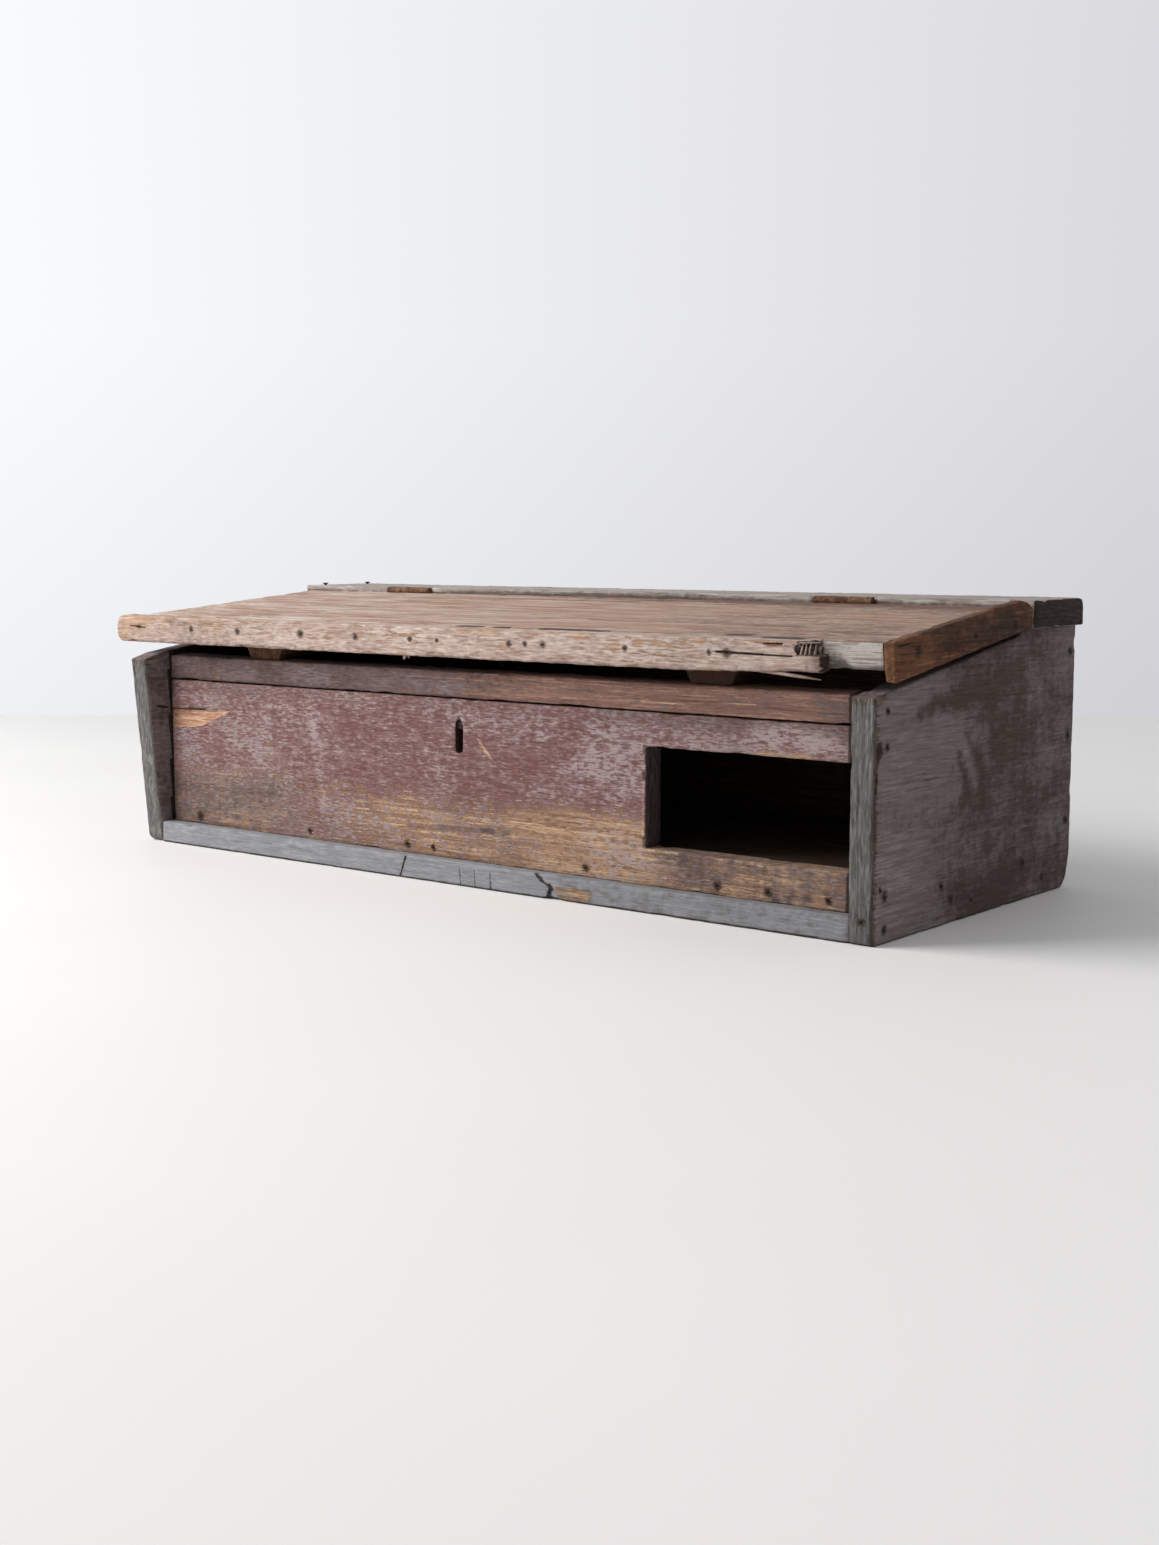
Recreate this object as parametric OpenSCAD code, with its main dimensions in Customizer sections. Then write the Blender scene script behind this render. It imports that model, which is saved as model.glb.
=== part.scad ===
// Antique storage chest: a low box of nailed boards with a sloping lid. The lid hangs on two butt
// hinges from a fixed board at the back, and rests on the front rail by two cleats under it.
// An iron box lock sits behind the keyhole, and the right part of the front is sawn out.
// Millimetres. X runs along the front, Y to the back and Z up.

/* [Box] */
// Width over the two end boards
box_w = 850; // [760:1:1000]
// Depth of the end boards
box_d = 342; // [320:1:400]
// Thickness of the end boards
end_t = 22; // [16:0.5:26]
// Height of the end boards at the front
front_h = 189; // [175:1:196]
// Height of the end boards at the back
rear_h = 232; // [228:1:245]
// How far the left end's front edge leans forward at its top
left_lean = 17; // [0:1:20]
// Thickness of the back board
back_t = 22; // [16:0.5:26]
// Thickness of the floor boards
floor_t = 22; // [16:0.5:26]

/* [Front] */
// Distance of the front boards behind the end boards' front edges
front_recess = 12; // [4:1:16]
// Thickness of the front panel and the rail
front_t = 22; // [18:0.5:26]
// Height of the front panel
panel_h = 144; // [136:1:150]
// Height of the rail above the panel
rail_h = 23; // [18:0.5:26]
// Open gap between panel and rail
rail_gap = 1.5; // [0.5:0.1:3]
// Shrinkage gap at the front boards' left ends
end_gap = 5; // [0:0.5:8]
// Height of the base strip
base_h = 21; // [16:0.5:26]
// Depth of the base strip
base_d = 44; // [42:1:60]

/* [Front opening] */
// Width of the opening, measured from the right end board
opening_w = 201; // [80:1:260]
// Height of the opening
opening_h = 85; // [40:1:90]
// Height of the strip of panel left under the opening
opening_sill = 31; // [24:1:36]

/* [Keyhole] */
// Keyhole, sideways from the middle of the box
keyhole_x = -5; // [-60:1:60]
// Width of the keyhole
keyhole_w = 8.8; // [6:0.2:12]
// Height of the keyhole
keyhole_h = 21; // [16:0.5:26]
// Top of the keyhole below the panel's top edge
keyhole_drop = 26.5; // [20:0.5:30]
// Height of the shallow cut above the keyhole
keyhole_cut_h = 8.5; // [4:0.5:12]
// Depth of the shallow cut above the keyhole
keyhole_cut_d = 3; // [1:0.5:8]

/* [Rear top board] */
// Depth of the rear top board
rear_top_d = 97; // [80:1:120]
// Thickness of the rear top board
rear_top_t = 23.5; // [20:0.5:28]
// Rear edge of the rear top board in front of the box's back
rear_top_inset = 9; // [0:1:12]
// Overhang of the rear top board past each end board
rear_top_overhang = 11; // [4:1:20]

/* [Lid] */
// Thickness of the lid board
lid_t = 22; // [20:0.5:24]
// Lid board past each end board's outer face
lid_side = 1; // [0.5:0.5:4]
// Lid board's front edge past the front boards
lid_front = 6; // [0:1:15]
// Gap between lid board and rear top board
seam_gap = 2; // [1.6:0.1:3]
// Lid's rear edge below the top of the rear top board
lid_drop = 5.5; // [4:0.1:7]
// Air between the end boards and the lid's underside, at the seam
end_clear = 1.5; // [1:0.1:4]
// Depth of the strip on the lid's front edge, front to back
strip_d = 16; // [10:0.5:24]
// Left end of the strip past the lid board
strip_left = 26; // [10:1:40]
// Radius on the strip's left end
strip_round = 8; // [3:0.5:9.5]
// Broken lower right end of the strip, short of the lid board
strip_break_low = 40; // [10:1:120]
// Broken upper right end of the strip at its top, further left still
strip_break_lean = 32; // [10:1:60]
// Height of the split in the strip's right end above its underside
strip_split = 12; // [6:0.5:16]
// Thickness of the batten on the lid's right edge
batten_t = 10; // [6:0.5:14]
// Height of the batten at its front end, down from the lid's top
batten_h = 31; // [24:0.5:34]
// Height of the batten at its rear end
batten_rear_h = 25; // [20:0.5:28]
// How far the batten stands above the lid near its rear end
batten_rise = 8; // [4:0.5:10]
// Length of the corner cut off the batten's rear end
batten_cut = 20; // [12:1:30]

/* [Lid cleats] */
// Distance between the middles of the two cleats, as a share of the box's width
cleat_share = 0.619; // [0.4:0.001:0.7]
// Height of a cleat, which holds the lid's front up
cleat_h = 18.9; // [16:0.1:24]
// Width of a cleat where it meets the lid
cleat_w = 57; // [40:1:70]
// Bevel along each side of a cleat
cleat_bevel = 8.5; // [2:0.5:14]
// Front end of a cleat behind the rail's front face
cleat_setback = 2; // [0:0.5:10]
// Rear end of a cleat in front of the hinge seam
cleat_rear = 30; // [20:1:60]
// Air between the cleats and the rail with the lid down
rest_clear = 0.3; // [0.2:0.1:1]

/* [Hinges] */
// Left hinge, sideways from the middle of the box, as a share of its width
hinge_left_share = 0.327; // [0.25:0.001:0.4]
// Right hinge, sideways from the middle of the box, as a share of its width
hinge_right_share = 0.298; // [0.25:0.001:0.4]
// Length of a hinge
hinge_len = 60; // [45:1:80]
// Radius of the hinge barrel
barrel_r = 3.5; // [3:0.1:4.5]
// Barrel's middle above the lid's top
barrel_rise = 2; // [1:0.1:3]
// Radius of the hinge pin
pin_r = 1.5; // [1:0.1:2]
// Running clearance of the pin in the knuckles, on the radius
pin_clear = 0.05; // [0.02:0.01:0.1]
// Length of the head at each end of a hinge pin
pin_head = 1; // [0.5:0.1:2]
// Height of a hinge leaf below the barrel's middle
leaf_h = 18; // [16:0.5:19]
// Thickness of a hinge leaf
leaf_t = 1.8; // [1.4:0.1:2.4]
// Gap between the two leaves with the lid down
leaf_gap = 0.8; // [0.4:0.1:1.2]
// Gap between knuckles
knuckle_gap = 0.4; // [0.2:0.1:0.8]
// Room cut in the boards round the barrel
barrel_room = 0.6; // [0.3:0.1:1.5]

/* [Lock] */
// Width of the lock case
lock_w = 110; // [104:1:130]
// Height of the lock case
lock_h = 84; // [78:1:95]
// Depth of the lock case
lock_d = 22; // [21:0.5:26]
// Thickness of the lock's iron plate
lock_wall = 2; // [1.5:0.1:2.5]
// Width of the two fixing flanges
lock_flange = 14; // [12:0.5:18]
// Travel of the bolt
bolt_throw = 15; // [12:0.5:15]
// Height of the bolt's bar
bolt_h = 7; // [5:0.5:8]
// Thickness of the bolt
bolt_t = 4.4; // [3.5:0.1:5]
// Running clearance round the bolt
bolt_clear = 0.3; // [0.2:0.05:0.5]
// Thickness of the staple's loop
loop_t = 4; // [3:0.5:5]
// Iron round the staple's eye
loop_rim = 1.8; // [1.5:0.1:2]

/* [Nails and screws] */
// Radius of a nail's shank
nail_r = 1.3; // [1:0.1:1.6]
// Radius of a nail's head
nail_head_r = 2.6; // [2:0.1:3.2]
// Thickness of a nail's head
nail_head_t = 1.4; // [1:0.1:2]
// Length of a nail in the box
nail_len = 48; // [40:1:55]
// Length of a nail in the lid's strip and batten
lid_nail_len = 38; // [32:1:50]
// Radius of a wood screw
screw_r = 1.6; // [1.2:0.1:1.8]
// Radius of a wood screw's head
screw_head_r = 3; // [2.5:0.1:3.2]
// Length of a wood screw
screw_len = 14; // [10:0.5:16]

/* [Hidden] */
$fn = 32;

// Paint, wood and iron as the photograph shows them
plum_paint = "#7d6a68";
grey_paint = "#8c9096";
mauve_paint = "#77706f";
grey_wood = "#a89a8c";
tan_wood = "#b9a48f";
brown_wood = "#8a623c";
bare_wood = "#a98d6c";
iron = "#4a3b33";

// Overlap of a cut past the face it opens, and of a head with its shank
past = 1;
join = 0.01;
// Overlap of a nail or screw past its head, which only its hole has
$past = 0;

// Main places of the box
inner_x = box_w / 2 - end_t;
front_y = -box_d / 2;
rear_y = box_d / 2;
panel_y = front_y + front_recess;
panel_in_y = panel_y + front_t;
back_in_y = rear_y - back_t;
panel_left_x = -inner_x + end_gap;
panel_w = inner_x - panel_left_x;
panel_top_z = base_h + panel_h;
rail_z = panel_top_z + rail_gap;
rail_top_z = rail_z + rail_h;
floor_top_z = base_h + floor_t;
floor_joint_y = (panel_in_y + back_in_y) / 2;

// Rear top board, seam, hinge axis, the hinges' places and one of a hinge's three knuckles
top_z = rear_h + rear_top_t;
seam_z = top_z - lid_drop;
end_top_z = seam_z - lid_t - end_clear;
rear_top_y = rear_y - rear_top_inset - rear_top_d;
seam_y = rear_top_y - seam_gap / 2;
hinge_z = seam_z + barrel_rise;
rear_top_w = box_w + 2 * rear_top_overhang;
hinge_left = hinge_left_share * box_w;
hinge_right = hinge_right_share * box_w;
knuckle_len = (hinge_len - 2 * knuckle_gap) / 3;

// Slope at which the lid's cleats lie on the rail
lid_run = seam_y - panel_y;
lid_rise = seam_z - rail_top_z;
lid_stack = lid_t + cleat_h + rest_clear;
lid_slope = atan2(lid_rise, lid_run) - asin(lid_stack / norm([lid_run, lid_rise]));

// Lid, in a frame that starts at the seam on the lid's top and slopes with it
lid_w = box_w + 2 * lid_side;
lid_d = (lid_run + lid_front) / cos(lid_slope);
cleat_front = (lid_run - cleat_setback) / cos(lid_slope);
cleat_x = cleat_share * box_w / 2;
strip_x0 = -lid_w / 2 - strip_left;
strip_x1 = lid_w / 2 - strip_break_low;
strip_lip = 6;
batten_x = lid_w / 2 + batten_t;

// Box whose middle is the origin of the part
left_lean_z = front_h - left_lean * (end_top_z - front_h) / (rear_top_y - front_y);
origin_x = (strip_x0 + max(batten_x, rear_top_w / 2)) / 2;
strip_front_y = seam_y - (lid_d + strip_d) * cos(lid_slope);
origin_y = (min(front_y - left_lean, strip_front_y) + rear_y) / 2;

// Lock, bolt and staple
lock_top_z = rail_top_z - rest_clear;
lock_z = lock_top_z - lock_h;
lock_in_y = panel_in_y + lock_d;
keyhole_top_z = panel_top_z - keyhole_drop;
key_pin_z = keyhole_top_z - keyhole_w / 2;
key_pin_r = 2;
guide_t = 3;
guide_rim = 3;
bolt_z = lock_top_z - lock_wall - guide_rim - bolt_clear - bolt_h;
eye_clear = 1;
loop_w = bolt_t + 2 * (eye_clear + loop_rim);
bolt_y = lock_in_y - lock_wall - eye_clear - loop_w / 2;
loop_from_key = 23;
loop_x = keyhole_x + loop_from_key;
loop_room = 4;
bolt_short = 2;
bolt_tip_x = loop_x - loop_t / 2 - bolt_clear - bolt_short;
guide_from_key = 32;
guide_right_x = loop_x + loop_t / 2 + loop_room;
guide_left_x = keyhole_x - guide_from_key;
bolt_tail_x = guide_left_x - bolt_throw - guide_t;
key_reach = 12;
talon_w = 6;
talon_x = keyhole_x - bolt_throw / 2 - talon_w / 2;
talon_leg = 4.5;
bolt_plate_reach = 25;
bolt_plate_x = keyhole_x - bolt_plate_reach;
loop_bottom_z = bolt_z - eye_clear - 2 * loop_rim;
loop_top_z = seam_z - (seam_y - bolt_y) * tan(lid_slope);
staple_w = 60;
staple_d = 26;
staple_t = 2.5;
staple_run = (seam_y - bolt_y) / cos(lid_slope);

// Nail places: shares of a run from its left end, as they were driven by hand
panel_nail_at = [0.05, 0.25, 0.41, 0.45, 0.67, 0.84, 0.90, 0.97];
strip_nail_at = [0.03, 0.138, 0.222, 0.331, 0.421, 0.506, 0.546, 0.65, 0.672, 0.696, 0.804,
    0.907, 0.928];
even_nail_at = [0.1, 0.3, 0.5, 0.7, 0.9];
upright_nail_at = [0.26, 0.58, 0.9];
panel_nail_rise = 8;
front_nail_in = 4.5;

// Moves the whole part so that its box stands centred on the origin
module at_origin() {
    translate([-origin_x, -origin_y, 0]) children();
}

// Turns an outline drawn in Y and Z into a board that runs along X
module along_x(x0, x1) {
    translate([x0, 0, 0]) rotate([90, 0, 90]) linear_extrude(x1 - x0) children();
}

// Turns an outline drawn in X and Z into a plate that runs along Y
module along_y(y0, y1) {
    translate([0, y1, 0]) rotate([90, 0, 0]) linear_extrude(y1 - y0) children();
}

// Places what is drawn in the lid's own frame on the sloping lid
module on_lid() {
    translate([0, seam_y, seam_z]) rotate([lid_slope, 0, 0]) children();
}

// Plain board between two corners
module board(low, high) {
    translate(low) cube(high - low);
}

// Holes for nails or screws: each runs past the face that it opens
module holes() {
    $past = past;
    children();
}

// Nail driven down, with the top of its head at zero
module nail(len) {
    translate([0, 0, -nail_head_t]) cylinder(r = nail_head_r, h = nail_head_t + $past);
    translate([0, 0, -len]) cylinder(r = nail_r, h = len - nail_head_t + join);
}

// Nails driven in along X, Y or Z
module nail_left(len) { rotate([0, -90, 0]) nail(len); }
module nail_right(len) { rotate([0, 90, 0]) nail(len); }
module nail_front(len) { rotate([90, 0, 0]) nail(len); }
module nail_back(len) { rotate([-90, 0, 0]) nail(len); }

// Countersunk wood screw driven down, with the top of its head at zero
module screw(len) {
    head_t = screw_head_r - screw_r;
    translate([0, 0, -head_t]) cylinder(r1 = screw_r, r2 = screw_head_r, h = head_t);
    if ($past > 0) cylinder(r = screw_head_r, h = $past);
    translate([0, 0, -len]) cylinder(r = screw_r, h = len - head_t + join);
}

// End board outline: upright back, flat seat for the rear top board, step, then the slope
module end_outline(lean, lean_z) {
    polygon([[front_y, 0], [rear_y, 0], [rear_y, rear_h], [rear_top_y, rear_h],
        [rear_top_y, end_top_z], [front_y - lean, lean_z]]);
}

module left_end_board() {
    color(mauve_paint) difference() {
        along_x(-box_w / 2, -inner_x) end_outline(left_lean, left_lean_z);
        holes() {
            left_end_nail_set();
            rear_top_nail_set();
        }
    }
}

module right_end_board() {
    color(mauve_paint) difference() {
        along_x(inner_x, box_w / 2) end_outline(0, front_h);
        holes() {
            right_end_nail_set();
            rear_top_nail_set();
        }
    }
}

// Keyhole: a slot with a round bottom, and a shallow cut above it
module keyhole() {
    bottom = keyhole_top_z - keyhole_h;
    along_y(panel_y - past, panel_in_y + past) {
        translate([keyhole_x - keyhole_w / 2, bottom + keyhole_w / 2])
            square([keyhole_w, keyhole_h - keyhole_w / 2]);
        translate([keyhole_x, bottom + keyhole_w / 2]) circle(r = keyhole_w / 2);
    }
    board([keyhole_x - keyhole_w / 2, panel_y - past, keyhole_top_z - past],
        [keyhole_x + keyhole_w / 2, panel_y + keyhole_cut_d, keyhole_top_z + keyhole_cut_h]);
}

module front_panel() {
    color(plum_paint) difference() {
        board([panel_left_x, panel_y, base_h], [inner_x, panel_in_y, panel_top_z]);
        board([inner_x - opening_w, panel_y - past, base_h + opening_sill],
            [inner_x + past, panel_in_y + past, base_h + opening_sill + opening_h]);
        keyhole();
        holes() {
            front_panel_nail_set();
            left_end_nail_set();
            right_end_nail_set();
            lock_screw_set();
        }
    }
}

// Rail whose top is planed to the slope of the lid
module front_rail() {
    color(mauve_paint) difference() {
        along_x(panel_left_x, inner_x) polygon([[panel_y, rail_z], [panel_in_y, rail_z],
            [panel_in_y, rail_top_z + front_t * tan(lid_slope)], [panel_y, rail_top_z]]);
        holes() {
            left_end_nail_set();
            right_end_nail_set();
            lock_screw_set();
        }
    }
}

module base_strip() {
    color(grey_paint) difference() {
        board([-inner_x, front_y, 0], [inner_x, front_y + base_d, base_h]);
        holes() {
            left_end_nail_set();
            right_end_nail_set();
        }
    }
}

module floor_board_front() {
    color(bare_wood) difference() {
        board([-inner_x, panel_in_y, base_h], [inner_x, floor_joint_y, floor_top_z]);
        holes() {
            front_panel_nail_set();
            left_end_nail_set();
            right_end_nail_set();
        }
    }
}

module floor_board_rear() {
    color(bare_wood) difference() {
        board([-inner_x, floor_joint_y, base_h], [inner_x, back_in_y, floor_top_z]);
        holes() {
            back_nail_set();
            left_end_nail_set();
            right_end_nail_set();
        }
    }
}

module back_board() {
    color(bare_wood) difference() {
        board([-inner_x, back_in_y, 0], [inner_x, rear_y, rear_h]);
        holes() {
            back_nail_set();
            rear_top_nail_set();
            left_end_nail_set();
            right_end_nail_set();
        }
    }
}

module rear_top_board() {
    color(grey_wood) difference() {
        board([-rear_top_w / 2, rear_top_y, rear_h],
            [rear_top_w / 2, rear_top_y + rear_top_d, top_z]);
        hinge_seat(-hinge_left, 1);
        hinge_seat(hinge_right, 1);
        holes() {
            hinge_screw_set(1);
            rear_top_nail_set();
        }
    }
}

// Outline of the lid: its rear end stands upright while the lid is down
module lid_outline() {
    polygon([[-lid_d, -lid_t], [-seam_gap / 2 - lid_t * tan(lid_slope), -lid_t],
        [-seam_gap / 2, 0], [-lid_d, 0]]);
}

module lid_board() {
    color(grey_wood) difference() {
        on_lid() along_x(-lid_w / 2, lid_w / 2) lid_outline();
        hinge_seat(-hinge_left, -1);
        hinge_seat(hinge_right, -1);
        holes() {
            hinge_screw_set(-1);
            strip_nail_set();
            batten_nail_set();
            cleat_nail_set(-1);
            cleat_nail_set(1);
            staple_screw_set();
        }
    }
}

// Nosing strip: round left end, and a right end that broke off along a split
module lid_front_strip() {
    low = -lid_t;
    split = low + strip_split;
    tear = strip_x1 - strip_lip;
    color(tan_wood) difference() {
        on_lid() along_y(-lid_d - strip_d, -lid_d) {
            polygon([[strip_x0 + strip_round, low], [strip_x1, low], [strip_x1, split],
                [tear, split], [tear - strip_break_lean, 0], [strip_x0 + strip_round, 0]]);
            translate([strip_x0, low + strip_round])
                square([2 * strip_round, lid_t - 2 * strip_round]);
            translate([strip_x0 + strip_round, low + strip_round]) circle(r = strip_round);
            translate([strip_x0 + strip_round, -strip_round]) circle(r = strip_round);
        }
        holes() strip_nail_set();
    }
}

// Batten nailed on askew: it stands above the lid at the back, where its corner is cut to clear
// the rear top board as the lid opens
module lid_batten() {
    color(brown_wood) difference() {
        on_lid() along_x(lid_w / 2, batten_x)
            polygon([[-lid_d, -batten_h], [-seam_gap, batten_rise - batten_rear_h], [-seam_gap, 0],
                [-seam_gap - batten_cut, batten_rise], [-lid_d, 0]]);
        holes() batten_nail_set();
    }
}

// Cleat with bevelled sides, under the lid from the rail to near the hinges
module cleat(side) {
    half = cleat_w / 2;
    low = -lid_t - cleat_h;
    color(brown_wood) difference() {
        on_lid() translate([side * cleat_x, 0, 0]) along_y(-cleat_front, -cleat_rear)
            polygon([[-half, -lid_t], [-half + cleat_bevel, low], [half - cleat_bevel, low],
                [half, -lid_t]]);
        holes() cleat_nail_set(side);
    }
}

module lid_cleat_left() { cleat(-1); }
module lid_cleat_right() { cleat(1); }

// Left end of one of the three knuckles
function knuckle_x(i) = -hinge_len / 2 + i * (knuckle_len + knuckle_gap);

// Cylinder on the hinge axis between two places along it
module axis_rod(x0, x1, r) {
    translate([x0, seam_y, hinge_z]) rotate([0, 90, 0]) cylinder(r = r, h = x1 - x0);
}

// Room for a hinge in a board's edge: side is 1 behind the seam and -1 in front of it.
// The room for the barrel is open at the top
module hinge_seat(x, side) {
    reach = hinge_len / 2 + leaf_gap / 4;
    rod_reach = reach + 2 * pin_head;
    rod_room = barrel_r + barrel_room;
    leaf_back = seam_y + side * (leaf_gap / 2 + leaf_t);
    translate([x, 0, 0]) {
        board([-reach, min(seam_y, leaf_back), hinge_z - leaf_h],
            [reach, max(seam_y, leaf_back), hinge_z]);
        axis_rod(-rod_reach, rod_reach, rod_room);
        board([-rod_reach, seam_y - rod_room, hinge_z], [rod_reach, seam_y + rod_room, top_z + join]);
    }
}

// Hinge leaf on one side of the seam, with the knuckles named in its list
module hinge_leaf(x, side, own, other) {
    near = seam_y + side * leaf_gap / 2;
    far = near + side * leaf_t;
    color(iron) difference() {
        translate([x, 0, 0]) {
            board([-hinge_len / 2, min(near, far), hinge_z - leaf_h],
                [hinge_len / 2, max(near, far), hinge_z]);
            for (i = own) axis_rod(knuckle_x(i), knuckle_x(i) + knuckle_len, barrel_r);
        }
        translate([x, 0, 0]) {
            for (i = other) axis_rod(knuckle_x(i) - knuckle_gap,
                knuckle_x(i) + knuckle_len + knuckle_gap, barrel_r + knuckle_gap);
            axis_rod(-hinge_len, hinge_len, pin_r + pin_clear);
        }
        holes() hinge_screw_set(side);
    }
}

module hinge_leaf_box_left() { hinge_leaf(-hinge_left, 1, [0, 2], [1]); }
module hinge_leaf_box_right() { hinge_leaf(hinge_right, 1, [0, 2], [1]); }
module hinge_leaf_lid_left() { hinge_leaf(-hinge_left, -1, [1], [0, 2]); }
module hinge_leaf_lid_right() { hinge_leaf(hinge_right, -1, [1], [0, 2]); }

// Pin with a riveted head at each end of the barrel
module hinge_pin(x) {
    head_r = (pin_r + barrel_r) / 2;
    color(iron) translate([x, 0, 0]) {
        axis_rod(-hinge_len / 2 - pin_head, hinge_len / 2 + pin_head, pin_r);
        axis_rod(-hinge_len / 2 - pin_head, -hinge_len / 2 - pin_clear, head_r);
        axis_rod(hinge_len / 2 + pin_clear, hinge_len / 2 + pin_head, head_r);
    }
}

module hinge_pin_left() { hinge_pin(-hinge_left); }
module hinge_pin_right() { hinge_pin(hinge_right); }

// Three screws through each leaf on one side of the seam
module hinge_screw_set(side) {
    z = hinge_z - (barrel_r + leaf_h) / 2 - knuckle_gap;
    for (x = [-hinge_left, hinge_right], i = [-1, 0, 1])
        translate([x + i * hinge_len / 3, seam_y + side * leaf_gap / 2, z])
            rotate([side * 90, 0, 0]) screw(screw_len);
}

module hinge_screws_box() { color(iron) hinge_screw_set(1); }
module hinge_screws_lid() { color(iron) hinge_screw_set(-1); }

// Guide block on the lock's plate, with a window that the bolt's bar runs in
module bolt_guide(x) {
    y0 = bolt_y - bolt_t / 2 - bolt_clear;
    y1 = bolt_y + bolt_t / 2 + bolt_clear;
    difference() {
        board([x, y0 - guide_rim, bolt_z - bolt_clear - guide_rim],
            [x + guide_t, lock_in_y - lock_wall, bolt_z + bolt_h + bolt_clear + guide_rim]);
        board([x - past, y0, bolt_z - bolt_clear],
            [x + guide_t + past, y1, bolt_z + bolt_h + bolt_clear]);
    }
}

// Iron case, open to the wood, with flanges, a slot for the loop, bolt guides and the key's pin
module lock_case() {
    x0 = keyhole_x - lock_w / 2;
    x1 = keyhole_x + lock_w / 2;
    slot = loop_t / 2 + eye_clear;
    color(iron) difference() {
        union() {
            difference() {
                board([x0, panel_in_y, lock_z], [x1, lock_in_y, lock_top_z]);
                board([x0 + lock_wall, panel_in_y - past, lock_z + lock_wall],
                    [x1 - lock_wall, lock_in_y - lock_wall, lock_top_z - lock_wall]);
                board([loop_x - slot, panel_in_y - past, lock_top_z - lock_wall - past],
                    [loop_x + slot, lock_in_y - lock_wall, lock_top_z + past]);
            }
            board([x0 - lock_flange, panel_in_y, lock_z], [x0, panel_in_y + lock_wall, lock_top_z]);
            board([x1, panel_in_y, lock_z], [x1 + lock_flange, panel_in_y + lock_wall, lock_top_z]);
            for (x = [guide_left_x, guide_right_x]) bolt_guide(x);
            translate([keyhole_x, lock_in_y - lock_wall, key_pin_z])
                rotate([90, 0, 0]) cylinder(r = key_pin_r, h = lock_d - 2 * lock_wall);
        }
        holes() lock_screw_set();
    }
}

// Bolt: a bar that enters the staple's eye, and a plate below with the talon that the key drives
module lock_bolt() {
    top = bolt_z + bolt_h;
    foot = key_pin_z + key_reach;
    notch = foot + talon_w / 2;
    shoulder = bolt_z - 2 * guide_rim - 2 * bolt_clear;
    color(iron) along_y(bolt_y - bolt_t / 2, bolt_y + bolt_t / 2)
        polygon([[bolt_tail_x, bolt_z], [bolt_plate_x, bolt_z], [bolt_plate_x, foot],
            [talon_x, foot], [talon_x, notch], [talon_x + talon_w, notch],
            [talon_x + talon_w, foot], [talon_x + talon_w + talon_leg, foot],
            [talon_x + talon_w + talon_leg, shoulder], [talon_x, shoulder], [talon_x, bolt_z],
            [bolt_tip_x, bolt_z], [bolt_tip_x, top], [bolt_tail_x, top]]);
}

// Bar of the staple's loop, up to the lid's top, above where it is cut off
module loop_bar() {
    board([loop_x - loop_t / 2, bolt_y - loop_w / 2, loop_bottom_z],
        [loop_x + loop_t / 2, bolt_y + loop_w / 2, loop_top_z]);
}

// Staple's plate under the lid, with the mortise that the loop is riveted into
module staple_plate() {
    color(iron) difference() {
        on_lid() board([loop_x - staple_w / 2, -staple_run - staple_d / 2, -lid_t - staple_t],
            [loop_x + staple_w / 2, -staple_run + staple_d / 2, -lid_t]);
        loop_bar();
        holes() staple_screw_set();
    }
}

// Staple's loop: it stands upright while the lid is down, and the bolt enters its eye
module staple_loop() {
    eye = bolt_t / 2 + eye_clear;
    color(iron) difference() {
        loop_bar();
        board([loop_x - loop_t, bolt_y - eye, bolt_z - eye_clear],
            [loop_x + loop_t, bolt_y + eye, bolt_z + bolt_h + eye_clear]);
        on_lid() board([loop_x - staple_w / 2, -staple_run - staple_d, -lid_t],
            [loop_x + staple_w / 2, -staple_run + staple_d, lid_t]);
    }
}

// Four screws through the lock's flanges into the rail and the panel
module lock_screw_set() {
    reach = lock_w / 2 + lock_flange / 2;
    for (x = [-reach, reach], z = [lock_z + lock_flange, rail_z + rail_h / 2])
        translate([keyhole_x + x, panel_in_y + lock_wall, z]) rotate([-90, 0, 0]) screw(screw_len);
}

module lock_screws() { color(iron) lock_screw_set(); }

// Two screws up through the staple's plate into the lid
module staple_screw_set() {
    reach = staple_w / 2 - 2 * screw_head_r;
    on_lid() for (x = [-reach, reach])
        translate([loop_x + x, -staple_run, -lid_t - staple_t]) rotate([180, 0, 0]) screw(screw_len);
}

module staple_screws() { color(iron) staple_screw_set(); }

// Row along the panel's bottom, into the floor's front edge
module front_panel_nail_set() {
    for (share = panel_nail_at)
        translate([panel_left_x + share * panel_w, panel_y, base_h + panel_nail_rise])
            nail_front(nail_len);
}

module front_panel_nails() { color(iron) front_panel_nail_set(); }

// Places of an end board's nails: into the front boards, the base strip, the back and the floor
end_nail_places = [
    for (z = [base_h / 2, base_h + opening_sill / 2,
        (base_h + opening_sill + opening_h + panel_top_z) / 2, rail_z + rail_h / 2])
        [panel_y + front_nail_in, z],
    for (share = upright_nail_at) [(back_in_y + rear_y) / 2, share * rear_h],
    for (y = [panel_in_y, back_in_y]) [(y + floor_joint_y) / 2, base_h + floor_t / 2]];

module left_end_nail_set() {
    for (place = end_nail_places)
        translate([-box_w / 2, place[0], place[1]]) nail_left(nail_len);
}

module left_end_nails() { color(iron) left_end_nail_set(); }

module right_end_nail_set() {
    for (place = end_nail_places)
        translate([box_w / 2, place[0], place[1]]) nail_right(nail_len);
}

module right_end_nails() { color(iron) right_end_nail_set(); }

// Row through the back into the floor's rear edge
module back_nail_set() {
    for (share = even_nail_at)
        translate([(share - 0.5) * 2 * inner_x, rear_y, base_h + floor_t / 2]) nail_back(nail_len);
}

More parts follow.
